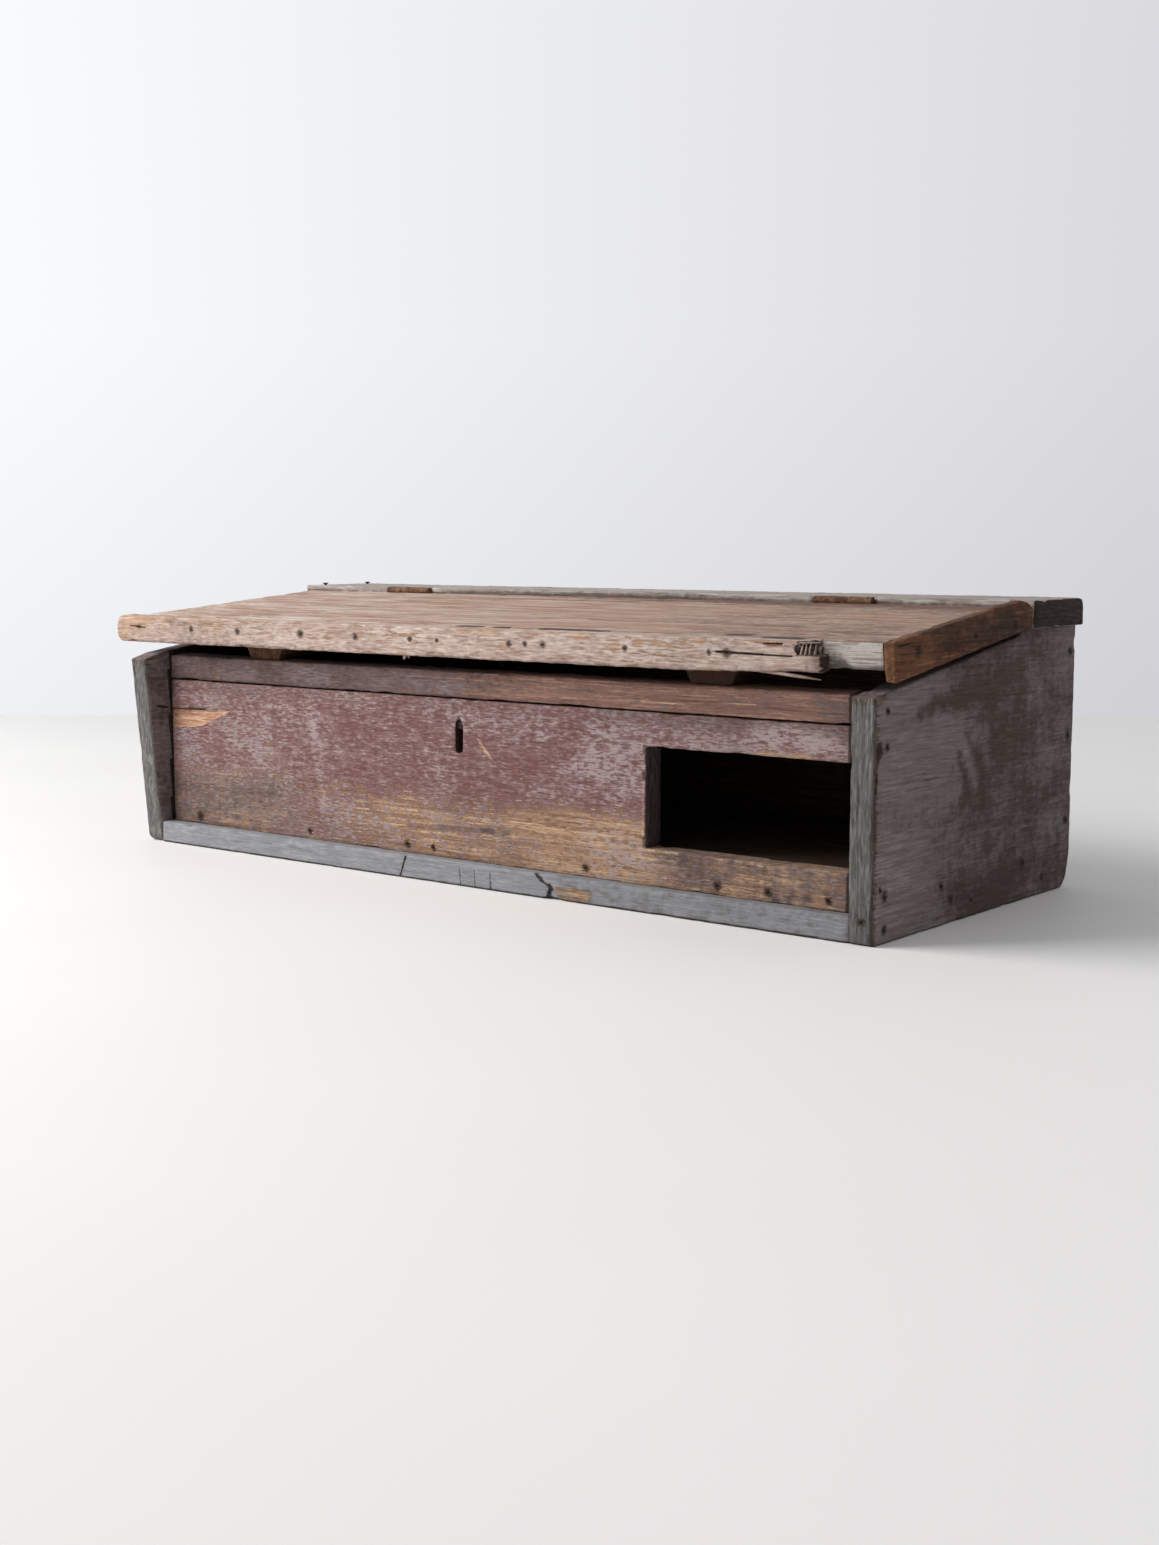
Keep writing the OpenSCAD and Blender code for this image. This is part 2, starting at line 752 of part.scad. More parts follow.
module back_nails() { color(iron) back_nail_set(); }

// Nails down through the rear top board into the end boards and the back
module rear_top_nail_set() {
    bearing_y = (back_in_y + rear_top_y + rear_top_d) / 2;
    for (x = [-1, 1], share = [0.08, 0.75])
        translate([x * (box_w - end_t) / 2, rear_top_y + share * rear_top_d, top_z]) nail(nail_len);
    for (share = even_nail_at)
        translate([(share - 0.5) * 2 * inner_x, bearing_y, top_z]) nail(nail_len);
}

module rear_top_nails() { color(iron) rear_top_nail_set(); }

// Row through the strip into the lid's front edge
module strip_nail_set() {
    run = strip_x1 - strip_break_lean - strip_x0;
    on_lid() for (share = strip_nail_at)
        translate([max(strip_x0 + share * run, -lid_w / 2 + 2 * nail_head_r), -lid_d - strip_d, -lid_t / 2])
            nail_front(lid_nail_len);
}

module strip_nails() { color(iron) strip_nail_set(); }

// Three nails through the batten into the lid's right edge
module batten_nail_set() {
    on_lid() for (share = [0.15, 0.45, 0.85])
        translate([batten_x, -share * lid_d, -lid_t / 2]) nail_right(lid_nail_len);
}

module batten_nails() { color(iron) batten_nail_set(); }

// Three nails up through a cleat into the lid, short of the lid's top
module cleat_nail_set(side) {
    run = cleat_front - cleat_rear;
    on_lid() for (share = [0.12, 0.5, 0.88])
        translate([side * cleat_x, -cleat_rear - share * run, -lid_t - cleat_h])
            rotate([180, 0, 0]) nail(cleat_h + lid_t / 2);
}

module cleat_nails() {
    color(iron) {
        cleat_nail_set(-1);
        cleat_nail_set(1);
    }
}

at_origin() left_end_board();
at_origin() right_end_board();
at_origin() front_panel();
at_origin() front_rail();
at_origin() base_strip();
at_origin() floor_board_front();
at_origin() floor_board_rear();
at_origin() back_board();
at_origin() rear_top_board();
at_origin() lid_board();
at_origin() lid_front_strip();
at_origin() lid_batten();
at_origin() lid_cleat_left();
at_origin() lid_cleat_right();
at_origin() hinge_leaf_box_left();
at_origin() hinge_leaf_box_right();
at_origin() hinge_leaf_lid_left();
at_origin() hinge_leaf_lid_right();
at_origin() hinge_pin_left();
at_origin() hinge_pin_right();
at_origin() hinge_screws_box();
at_origin() hinge_screws_lid();
at_origin() lock_case();
at_origin() lock_bolt();
at_origin() staple_plate();
at_origin() staple_loop();
at_origin() lock_screws();
at_origin() staple_screws();
at_origin() front_panel_nails();
at_origin() left_end_nails();
at_origin() right_end_nails();
at_origin() back_nails();
at_origin() rear_top_nails();
at_origin() strip_nails();
at_origin() batten_nails();
at_origin() cleat_nails();
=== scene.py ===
import math
import random

import bmesh
import bpy
from mathutils import Matrix, Vector, noise


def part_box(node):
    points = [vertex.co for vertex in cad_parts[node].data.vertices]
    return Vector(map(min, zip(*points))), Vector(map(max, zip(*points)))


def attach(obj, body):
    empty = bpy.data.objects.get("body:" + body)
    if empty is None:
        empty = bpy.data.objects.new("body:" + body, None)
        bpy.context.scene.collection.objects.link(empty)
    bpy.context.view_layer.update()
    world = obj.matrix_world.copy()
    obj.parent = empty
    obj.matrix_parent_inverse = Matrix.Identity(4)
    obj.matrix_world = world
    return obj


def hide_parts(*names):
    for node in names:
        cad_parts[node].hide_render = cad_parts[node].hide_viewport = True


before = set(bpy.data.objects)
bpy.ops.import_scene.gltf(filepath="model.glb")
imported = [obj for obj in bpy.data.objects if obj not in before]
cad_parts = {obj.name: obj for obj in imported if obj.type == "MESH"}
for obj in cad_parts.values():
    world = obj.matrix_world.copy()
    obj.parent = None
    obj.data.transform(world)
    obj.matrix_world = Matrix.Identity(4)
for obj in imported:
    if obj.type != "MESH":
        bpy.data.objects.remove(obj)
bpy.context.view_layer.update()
scene = bpy.context.scene
scene.view_settings.view_transform = "Standard"

# Camera: it stands low in front of the chest's right half and looks across to its left, a little
# downwards. Place, turn and lens come from fitting the chest's corners to the photograph.
camera = bpy.data.objects.new("camera", bpy.data.cameras.new("camera"))
camera.data.lens = 45.1
camera_yaw = math.radians(38.79)
camera.location = (1.1583, -1.41735, 0.30614)
camera.rotation_euler = (math.radians(90 - 6.88), 0, camera_yaw)
scene.collection.objects.link(camera)
scene.camera = camera

# Floor: a smooth pale painted studio floor. It lies square to the camera and ends where the floor in
# the photograph meets the wall, so that the same faint line runs behind the chest.
floor_behind, floor_ahead, floor_side = -4.0, 3.37, 5.0


def linear(hex_code):
    parts = [int(hex_code[i:i + 2], 16) / 255 for i in (1, 3, 5)]
    return [p / 12.92 if p <= 0.04045 else ((p + 0.055) / 1.055) ** 2.4 for p in parts] + [1.0]


def add(tree, kind, inputs=None, **settings):
    made = tree.nodes.new("ShaderNode" + kind)
    for name, value in settings.items():
        setattr(made, name, value)
    for socket, value in (inputs or {}).items():
        if isinstance(value, bpy.types.NodeSocket):
            tree.links.new(value, made.inputs[socket])
        else:
            made.inputs[socket].default_value = value
    return made.outputs


def empty_tree(owner):
    owner.use_nodes = True
    owner.node_tree.nodes.clear()
    return owner.node_tree


def seen_directly(tree):
    ray = add(tree, "LightPath")
    seen = add(tree, "Math", {0: ray["Is Camera Ray"], 1: ray["Is Glossy Ray"]}, operation="MAXIMUM")["Value"]
    return add(tree, "Math", {0: seen, 1: ray["Is Transmission Ray"]}, operation="MAXIMUM")["Value"]


bm = bmesh.new()
bmesh.ops.create_grid(bm, x_segments=4, y_segments=4, size=1)
bmesh.ops.scale(bm, verts=bm.verts[:], vec=(floor_side, (floor_ahead - floor_behind) / 2, 1))
bmesh.ops.translate(bm, verts=bm.verts[:], vec=(0, (floor_behind + floor_ahead) / 2, 0))
bmesh.ops.rotate(bm, verts=bm.verts[:], matrix=Matrix.Rotation(camera_yaw, 3, "Z"))
bmesh.ops.translate(bm, verts=bm.verts[:], vec=(camera.location.x, camera.location.y, 0))
floor_mesh = bpy.data.meshes.new("floor")
bm.to_mesh(floor_mesh)
bm.free()
floor = bpy.data.objects.new("floor", floor_mesh)
scene.collection.objects.link(floor)

# Eggshell floor paint: almost white, a little cloudy where it was cleaned. The camera sees it paler
# than it lights the chest, more so away from the window's side, and it keeps the chest's shadow.
paint = bpy.data.materials.new("eggshell_floor_paint")
tree = empty_tree(paint)
place = add(tree, "TexCoord")["Object"]
cloudy = add(tree, "TexNoise", {"Vector": place, "Scale": 3.0, "Detail": 2.0})["Fac"]
shade = add(tree, "MixRGB", {"Fac": cloudy, "Color1": linear("#e4e2e0"),
                             "Color2": linear("#eae9e7")})["Color"]
shader = add(tree, "BsdfPrincipled", {"Base Color": shade, "Roughness": 0.6,
                                      "Specular IOR Level": 0.2})["BSDF"]
far = add(tree, "VectorMath", {0: place, 1: (-1.0, -0.2, 0)}, operation="DISTANCE")["Value"]
far = add(tree, "MapRange", {"Value": far, "From Min": 0.3, "From Max": 2.4})["Result"]
shade = add(tree, "MixRGB", {"Fac": far, "Color1": linear("#302e2c"), "Color2": linear("#aba8a5")})["Color"]
pale = add(tree, "BsdfDiffuse", {"Color": shade})["BSDF"]
pale = add(tree, "AddShader", {0: shader, 1: pale})["Shader"]
surface = add(tree, "MixShader", {"Fac": seen_directly(tree), 1: shader, 2: pale})["Shader"]
add(tree, "OutputMaterial", {"Surface": surface})
floor_mesh.materials.append(paint)

# Light: one large soft window at the left and in front, and a dim white room round the chest. The
# camera sees the room as the pale wall of the photograph, brighter at its left.
window = bpy.data.objects.new("window", bpy.data.lights.new("window", "AREA"))
window.data.shape = "RECTANGLE"
window.data.size = 1.8
window.data.size_y = 1.5
window.data.energy = 60
window.location = (-1.55, -1.3, 1.4)
window.rotation_euler = (Vector((0.05, 0, 0.1)) - window.location).to_track_quat("-Z", "Y").to_euler()
scene.collection.objects.link(window)
room = bpy.data.worlds.new("room")
scene.world = room
tree = empty_tree(room)
gaze = add(tree, "TexCoord")["Generated"]
rightwards = (math.cos(camera_yaw), math.sin(camera_yaw), 0)
side = add(tree, "VectorMath", {0: gaze, 1: rightwards}, operation="DOT_PRODUCT")["Value"]
side = add(tree, "MapRange", {"Value": side, "From Min": -0.3, "From Max": 0.3})["Result"]
wall = add(tree, "MixRGB", {"Fac": side, "Color1": linear("#fafcff"), "Color2": linear("#d9d8dd")})["Color"]
rise = add(tree, "SeparateXYZ", {"Vector": gaze})["Z"]
rise = add(tree, "MapRange", {"Value": rise, "From Min": -0.1, "From Max": 0.1, "To Min": 0.9})["Result"]
fill = add(tree, "Background", {"Color": linear("#f4f6fa"), "Strength": 0.4})["Background"]
view = add(tree, "Background", {"Color": wall, "Strength": rise})["Background"]
sky = add(tree, "MixShader", {"Fac": seen_directly(tree), 1: fill, 2: view})["Shader"]
add(tree, "OutputWorld", {"Surface": sky})

# Right end board: a wide pine board that stands on its lower edge, its top sawn to the lid's slope in
# front of the rear top board. Mauve-grey paint outside, blue-grey on its front edge, bare wood inside.
rear_top_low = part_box("rear_top_board")[0]
slope_rear_z = 0.2265
slope_front_z = 0.189
# What the paint reads from the mesh, and the share of a normal from which a face looks along an axis.
marks = ("wear", "rust", "fresh", "bare", "chalk", "grime")
facing = 0.7


def face_grid(low, high, thin, step):
    bm = bmesh.new()
    for mark in marks:
        bm.verts.layers.float.new(mark)
    wide, tall = [axis for axis in range(3) if axis != thin]
    half = (high - low) / 2
    place = Matrix.Translation((low + high) / 2)
    place[thin][3] = low[thin]
    turn = Matrix(((0,) * 4, (0,) * 4, (0,) * 4, (0, 0, 0, 1)))
    turn[wide][0], turn[tall][1], turn[thin][2] = half[wide], half[tall], 1
    across, up = round(2 * half[wide] / step), round(2 * half[tall] / step)
    bmesh.ops.create_grid(bm, x_segments=across, y_segments=up, size=1, matrix=place @ turn)
    return bm


def slope_top(bm, low, high):
    for v in bm.verts:
        top = high.z
        if v.co.y < rear_top_low.y - 1e-6:
            rise = (slope_rear_z - slope_front_z) * (v.co.y - low.y)
            top = slope_front_z + rise / (rear_top_low.y - low.y)
        v.co.z *= top / high.z


def round_corner(bm, across, up, corner, reach, signs):
    for v in bm.verts:
        a = (v.co[across] - corner[0]) * signs[0] + reach
        b = (v.co[up] - corner[1]) * signs[1] + reach
        if a > 0 and b > 0:
            pull = max(a, b) / math.hypot(a, b)
            v.co[across] = corner[0] + signs[0] * (a * pull - reach)
            v.co[up] = corner[1] + signs[1] * (b * pull - reach)


def extrude(bm, faces):
    grown = bmesh.ops.extrude_face_region(bm, geom=faces)["geom"]
    return [g for g in grown if isinstance(g, bmesh.types.BMVert)]


def thicken(bm, thin, depth, loops=4):
    shift = Vector((0, 0, 0))
    shift[thin] = depth
    bmesh.ops.translate(bm, verts=extrude(bm, bm.faces[:]), vec=shift)
    ribs = [e for e in bm.edges if abs((e.verts[1].co - e.verts[0].co)[thin]) > depth / 2]
    bmesh.ops.subdivide_edges(bm, edges=ribs, cuts=loops, use_grid_fill=True)
    bmesh.ops.recalc_face_normals(bm, faces=bm.faces[:])


def age(bm, rounding, wobble, nick, seed):
    wear = bm.verts.layers.float["wear"]
    sharp_angle = 0.7
    rim = [e for e in bm.edges if e.calc_face_angle(0) > sharp_angle]
    worn = bmesh.ops.bevel(bm, geom=rim, offset=rounding, segments=2, profile=0.5, affect="EDGES",
                           material=-1)
    for v in worn["verts"]:
        v[wear] = 1
    for fade in (0.55, 0.25):
        edge = [v for v in bm.verts
                if v[wear] == 0 and any(e.other_vert(v)[wear] > fade for e in v.link_edges)]
        for v in edge:
            v[wear] = fade
    bm.normal_update()
    # Without a seed, Blender takes the vector noise's offsets from the clock.
    noise.seed_set(seed)
    away = Vector((seed * 7.3, seed * 3.1, seed * 1.7))
    for v in bm.verts:
        slow = noise.noise_vector(v.co * 18 + away)
        quick = noise.noise_vector(v.co * 150 + away)
        chipped = max(0, noise.noise(v.co * 55 + away) - 0.2) * v[wear] ** 3
        v.co += slow * wobble + quick * wobble * (0.25 + v[wear]) - v.normal * chipped * nick
        v[wear] *= min(max(0.45 + 1.3 * noise.noise(v.co * 35 - away), 0), 1)
    bm.normal_update()


def drive(bm, places, outward, hole=0.0021, sink=0.0018, spread=0.008):
    rust = bm.verts.layers.float["rust"]
    outward = Vector(outward)
    chance = random.Random(len(bm.verts))
    for spot in places:
        spot = Vector(spot)
        near = [v for v in bm.verts if (v.co - spot).length < 0.02 and v.normal.dot(outward) > 0.9]
        stain = spread * chance.uniform(0.7, 1.4)
        for v in near:
            v[rust] = max(v[rust], 1 - (v.co - spot).length / stain)
        middle = min(near, key=lambda v: (v.co - spot).length)
        flat = spot - middle.co
        middle.co += flat - outward * flat.dot(outward)
        ring = bmesh.ops.bevel(bm, geom=[middle], offset=hole * chance.uniform(0.8, 1.15), segments=2,
                               profile=0.5, affect="VERTICES", material=-1)
        pit = [f for f in ring["faces"] if f.normal.dot(outward) > facing]
        for v in ring["verts"]:
            v[rust] = 1
        sunk = extrude(bm, pit)
        bmesh.ops.delete(bm, geom=pit, context="FACES")
        bmesh.ops.translate(bm, verts=sunk, vec=-outward * sink)
        bm.normal_update()


def with_rims(faces):
    return faces + list({e for f in faces for e in f.edges}) + list({v for f in faces for v in f.verts})


def score(bm, start, end, outward, width, depth, mark="rust", most=0.8):
    marked = bm.verts.layers.float[mark]
    start, end, outward = Vector(start), Vector(end), Vector(outward)
    along = (end - start).normalized()
    across = outward.cross(along).normalized()
    length = (end - start).length
    for offset in (-width / 2, 0, width / 2):
        near = []
        for f in bm.faces:
            c = f.calc_center_median() - start
            beside = -0.003 < c.dot(along) < length + 0.003 and abs(c.dot(across)) < 0.008
            if beside and abs(c.dot(outward)) < 0.004 and f.normal.dot(outward) > facing:
                near.append(f)
        bmesh.ops.bisect_plane(bm, geom=with_rims(near), plane_co=start + across * offset, plane_no=across)
    bm.normal_update()
    for v in bm.verts:
        c = v.co - start
        inside = abs(c.dot(across)) < width * 0.55 and 0 <= c.dot(along) <= length
        if inside and abs(c.dot(outward)) < 0.004 and v.normal.dot(outward) > 0.5:
            v[marked] = max(v[marked], most)
            if abs(c.dot(across)) < width * 0.2:
                ends = min(1, min(c.dot(along), length - c.dot(along)) / 0.004)
                v.co -= outward * depth * (0.3 + 0.7 * ends)


def ramp(value, start, stop):
    share = min(max((value - start) / (stop - start), 0), 1)
    return share * share * (3 - 2 * share)


def tint(bm, mark, amount):
    marked = bm.verts.layers.float[mark]
    for v in bm.verts:
        v[marked] += amount(v.co)


def brush(bm, mark, amount, reach, *points):
    marked = bm.verts.layers.float[mark]
    points = [Vector(p) for p in points]
    for v in bm.verts:
        gap = reach
        for a, b in zip(points, points[1:]):
            share = min(max((v.co - a).dot(b - a) / (b - a).length_squared, 0), 1)
            gap = min(gap, (v.co - a.lerp(b, share)).length)
        v[marked] += amount * ramp(gap, reach, 0)


def finish_piece(bm, name, body, node, slot, *materials, placing=Matrix()):
    bmesh.ops.transform(bm, matrix=placing, verts=bm.verts[:])
    for face in bm.faces:
        face.smooth = True
    for v in bm.verts:
        v.co.z = max(v.co.z, 0)
    made = bpy.data.meshes.new(name)
    bm.to_mesh(made)
    bm.free()
    for material in materials:
        made.materials.append(material)
    piece = bpy.data.objects.new(name, made)
    scene.collection.objects.link(piece)
    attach(piece, body)
    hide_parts(node)


# Old flat paint on pine: dry and matt, worn through along the grain, with chalky flecks 1.6 mm wide,
# dark fibres 1.5 mm wide and dirt in 8 mm specks. The marks on the mesh say where it is rubbed, soiled or
# broken, and where it is painted darker as shade or lighter as sheen. Each pattern has its axis, its
# length and width in mm and the detail of its noise.
def painted_pine(name, along, seed, wood, coat, dirt, cover, chalk, soot, sheen=0.25, stretch=1):
    made = bpy.data.materials.new(name)
    tree = empty_tree(made)
    place = add(tree, "TexCoord")["Object"]
    across = 0 if along == 2 else 2
    patterns = {"fibre": (along, 60, 1.5, 3.0), "streak": (along, 110, 4.5, 5.0),
                "fleck": (along, 11 * stretch, 1.6, 4.0), "flake": (along, 26 * stretch, 3.2, 4.0),
                "rub": (across, 70, 9, 3.0), "patch": (along, 120, 50, 3.0),
                "cloud": (along, 60, 35, 4.0), "speck": (along, 8, 5, 3.0)}
    amount = {}
    for part, (axis, length, width, detail) in patterns.items():
        size = [width / 1000] * 3
        size[axis] = length / 1000
        shift = (seed + 3.7 * len(amount),) * 3
        moved = add(tree, "Mapping", {"Vector": place, "Location": shift, "Scale": size},
                    vector_type="TEXTURE")
        cloudy = add(tree, "TexNoise", {"Vector": moved["Vector"], "Scale": 1.0, "Detail": detail,
                                        "Roughness": 0.6})
        amount[part] = add(tree, "MapRange", {"Value": cloudy["Fac"], "From Min": 0.3, "From Max": 0.7,
                                              "To Min": -1.0})["Result"]
    for mark in marks:
        amount[mark] = add(tree, "Attribute", attribute_name=mark)["Fac"]
    sums = {"lines": (0.0, ("fibre", 1.0), ("fleck", 0.5), ("streak", 0.4)),
            "grain": (0.0, ("streak", 0.6), ("fleck", 0.5), ("flake", 0.3)),
            "mottle": (0.0, ("fleck", 0.7), ("flake", 0.8)),
            "powder": (chalk, ("cloud", 0.34), ("fleck", 0.46), ("flake", 0.26), ("speck", 0.2),
                       ("rub", 0.12), ("chalk", 1.0)),
            "paint": (cover, ("patch", 0.18), ("streak", 0.12), ("flake", 0.25), ("fleck", 0.42),
                      ("wear", -0.3), ("bare", -1.0)),
            "soil": (soot, ("patch", 0.2), ("cloud", 0.22), ("flake", 0.2), ("speck", 0.22),
                     ("rub", 0.12), ("grime", 1.0)),
            "iron": (0.0, ("rust", 1.0), ("fleck", 0.25)),
            "broken": (0.0, ("fresh", 1.0), ("fibre", 0.15))}
    for total, (start, *shares) in sums.items():
        amount[total] = start
        for part, weight in shares:
            amount[total] = add(tree, "Math", {0: amount[part], 1: weight, 2: amount[total]},
                                operation="MULTIPLY_ADD")["Value"]

    def layered(colour, *layers):
        for other, part, low, high, most in layers:
            share = add(tree, "MapRange", {"Value": amount[part], "From Min": low, "From Max": high,
                                           "To Max": most}, interpolation_type="SMOOTHSTEP")["Result"]
            colour = add(tree, "MixRGB", {"Fac": share, "Color1": colour, "Color2": other})["Color"]
        return colour

    worn_from, kept_from = -0.06, 0.06
    timber = layered(linear(wood[0]), (linear(wood[1]), "grain", -0.6, 0.5, 1.0),
                     (linear(wood[2]), "lines", 0.1, 0.9, 0.85), (linear(dirt), "lines", -0.5, -1.4, 0.7))
    skin = layered(linear(coat[0]), (linear(coat[1]), "mottle", -0.7, 0.7, 1.0),
                   (linear(coat[2]), "powder", -0.5, 0.3, 0.45), (linear(dirt), "lines", -0.7, -1.5, 0.5))
    split = layered(linear("#a8765a"), (linear("#dcb596"), "lines", -0.8, 0.8, 1.0))
    # The soil layer paints dirt and painted shade, the iron layer rust and near-black painted shade, and the
    # powder layer chalk and painted sheen.
    face = layered(timber, (skin, "paint", worn_from, kept_from, 1.0),
                   (linear(coat[2]), "powder", 0.02, 0.22, 0.8), (linear(dirt), "soil", -0.2, 0.6, 0.85),
                   (split, "broken", 0.3, 0.6, 0.9), (linear("#2a1912"), "iron", 0.3, 0.75, 0.9))
    kept = add(tree, "MapRange", {"Value": amount["paint"], "From Min": worn_from,
                                  "From Max": kept_from})["Result"]
    relief = add(tree, "Math", {0: amount["lines"], 1: 0.4, 2: kept}, operation="MULTIPLY_ADD")["Value"]
    bump = add(tree, "Bump", {"Height": relief, "Strength": 0.6, "Distance": 0.0007})["Normal"]
    dull = add(tree, "MapRange", {"Value": amount["lines"], "From Min": -1.0, "From Max": 1.0,
                                  "To Min": 0.9, "To Max": 0.66})["Result"]
    shader = add(tree, "BsdfPrincipled", {"Base Color": face, "Roughness": dull, "Normal": bump,
                                          "Specular IOR Level": sheen})["BSDF"]
    add(tree, "OutputMaterial", {"Surface": shader})
    return made


# Mauve-grey paint: thin and even, gone brown towards the rear where hands and damp wore it.
mauve_paint = painted_pine("mauve_grey_paint_on_pine", 1, 3.0, ("#5f4e46", "#77645a", "#8a7568"),
                           ("#7b6e6d", "#8c7e7d", "#a09392"), "#432e26", 0.6, -0.3, -0.34, 0.25, 2)
# Blue-grey paint on a sawn edge: mottled, with pale and dark upright streaks.
blue_edge_paint = painted_pine("blue_grey_paint_on_sawn_edge", 2, 5.0, ("#463c34", "#5c5148", "#70665a"),
                               ("#575451", "#6c6966", "#8c8985"), "#38332f", 0.5, -0.16, -0.08)
# Bare aged pine: never painted, brown and dull from dust.
bare_pine = painted_pine("bare_aged_pine", 0, 9.0, ("#3f2f23", "#574331", "#6b543f"),
                         ("#4d3c2e", "#5b4836", "#6a5644"), "#2c221b", 0.0, -0.3, -0.1, 0.25, 8)
end_nails = [(-0.146, 0.0105), (-0.146, 0.0365), (-0.146, 0.151), (-0.146, 0.178),
             (0.1685, 0.0603), (0.1685, 0.1346), (0.1685, 0.2088), (-0.057, 0.032), (0.086, 0.032)]
low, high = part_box("right_end_board")
bm = face_grid(low, high, 0, 0.0033)
slope_top(bm, low, high)
round_corner(bm, 1, 2, (high.y, 0), 0.014, (1, -1))
round_corner(bm, 1, 2, (low.y, 0), 0.004, (-1, -1))
for v in bm.verts:
    v.co.y -= 0.006 * ramp(v.co.z, 0.034, 0.0) * ramp(v.co.y, 0.12, high.y)
thicken(bm, 0, high.x - low.x)
age(bm, 0.0016, 0.0002, 0.0025, 1)
drive(bm, [(high.x, y, z) for y, z in end_nails], (1, 0, 0))
tack_holes = [(-0.157, 0.148), (-0.1635, 0.127), (-0.1632, 0.1195), (-0.1645, 0.042), (-0.153, 0.0425),
              (0.1244, 0.0152), (-0.0054, 0.0136), (-0.0405, 0.0188)]
drive(bm, [(high.x, y, z) for y, z in tack_holes], (1, 0, 0), 0.0011, 0.0008, 0.007)
drive(bm, [(0.4225, low.y, 0.018)], (0, -1, 0), 0.0017, 0.001, 0.01)
tint(bm, "grime",
     lambda p: 0.74 * ramp(p.y + 0.06 * noise.noise(Vector((p.y * 18, 1.5, p.z * 26))), -0.15, 0.05))
tint(bm, "grime", lambda p: 0.12 * ramp(p.z, 0.05, 0.0) - 0.16 * ramp(p.y, 0.05, 0.12))
# A near-black line along the bottom edge is a painted contact shadow at the floor.
tint(bm, "rust", lambda p: 0.7 * ramp(p.z, 0.0026, 0.0008))
tint(bm, "bare", lambda p: 0.8 * ramp(p.z, 0.18, 0.186) * ramp(p.y, -0.145, -0.155))
tint(bm, "grime", lambda p: 0.5 * ramp(abs(p.y + 0.163), 0.006, 0.0) if p.x > high.x - 0.004 else 0)
tint(bm, "bare", lambda p: 0.6 + noise.noise(Vector((p.z * 50, 2.5, 0.5)))
     if p.y < low.y + 0.0035 and p.x > high.x - 0.0035 else 0)
end_stains = (
    ("rust", 0.5, 0.006, (-0.157, 0.153), (-0.1635, 0.127), (-0.164, 0.113)),
    ("grime", 0.32, 0.013, (-0.142, 0.164), (-0.073, 0.177), (0.009, 0.186)),
    ("grime", 0.2, 0.01, (-0.098, 0.17), (-0.07, 0.182), (-0.035, 0.176)),
    ("grime", 0.4, 0.006, (-0.023, 0.153), (-0.0065, 0.1368), (0.0086, 0.1188), (0.0118, 0.0916)),
    ("grime", 0.4, 0.007, (-0.0325, 0.1357), (-0.0249, 0.1202), (-0.0152, 0.1011), (-0.0251, 0.0905)),
    ("grime", -0.4, 0.007, (-0.03, 0.155), (-0.0131, 0.1274), (-0.0014, 0.1063)),
    ("grime", 0.3, 0.03, (-0.15, 0.098), (-0.08, 0.093)),
    ("grime", 0.3, 0.02, (0.045, 0.022), (0.06, 0.022)),
    ("chalk", 0.3, 0.012, (0.035, 0.107), (0.048, 0.108)))
for mark, most, reach, *points in end_stains:
    brush(bm, mark, most, reach, *((high.x, y, z) for y, z in points))


def coat_end(bm, inward):
    for f in bm.faces:
        inner = f.normal.x * inward > facing and f.calc_center_median().y > -0.15
        f.material_index = 1 if f.normal.y < -facing else 2 if inner else 0


coat_end(bm, -1)
finish_piece(bm, "right_end_plank", "box", "right_end_board", "mauve_paint",
             mauve_paint, blue_edge_paint, bare_pine)

# Left end board: the twin of the right one. Its front edge leans forward towards the top, and the
# corners of that edge are rubbed down to brown wood. A dark crack runs out of it to the front panel.
low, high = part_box("left_end_board")
front_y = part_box("right_end_board")[0].y
lean = front_y - low.y
low.y = front_y
bm = face_grid(low, high, 0, 0.0036)
slope_top(bm, low, high)
for v in bm.verts:
    v.co.y -= lean * (v.co.z / slope_front_z) * (high.y - v.co.y) / (high.y - low.y)
    if v.co.y < low.y:
        fall = (low.y - v.co.y) * (slope_rear_z - slope_front_z) / (rear_top_low.y - low.y)
        v.co.z -= fall * v.co.z / slope_front_z
round_corner(bm, 1, 2, (high.y, 0), 0.006, (1, -1))
round_corner(bm, 1, 2, (low.y, 0), 0.007, (-1, -1))
thicken(bm, 0, high.x - low.x)
age(bm, 0.0016, 0.0002, 0.002, 2)
drive(bm, [(low.x, y, z) for y, z in end_nails], (-1, 0, 0))
score(bm, (high.x, -0.167, 0.139), (high.x, -0.1515, 0.1365), (1, 0, 0), 0.0016, 0.002)
# The inner face is painted darker as painted shade.
tint(bm, "grime", lambda p: 0.5 * ramp(p.x, high.x - 0.003, high.x))
tint(bm, "grime", lambda p: 0.3 * ramp(p.y, -0.05, 0.1))
tint(bm, "bare", lambda p: 0.5 * ramp(p.z, 0.17, 0.185) * ramp(p.y, -0.16, -0.17))
coat_end(bm, 1)
finish_piece(bm, "left_end_plank", "box", "left_end_board", "mauve_paint",
             mauve_paint, blue_edge_paint, bare_pine)

# Base strip: a stout pine strip along the bottom of the front, set between the end boards and
# nailed through them. A layer of it tore off at the right, down to a patch of bare wood.
torn_edge = [(0.0, 0.112), (0.0019, 0.1136), (0.0108, 0.1177), (0.0148, 0.1069), (0.0215, 0.0998)]
torn_deep = 0.0014


def torn_x(z):
    for (z0, x0), (z1, x1) in zip(torn_edge, torn_edge[1:]):
        if z <= z1:
            return x0 + (x1 - x0) * (z - z0) / (z1 - z0)
    return torn_edge[-1][1]


def scratch(bm, front, start, end, *how, **marking):
    score(bm, (start[0], front, start[1]), (end[0], front, end[1]), (0, -1, 0), *how, **marking)


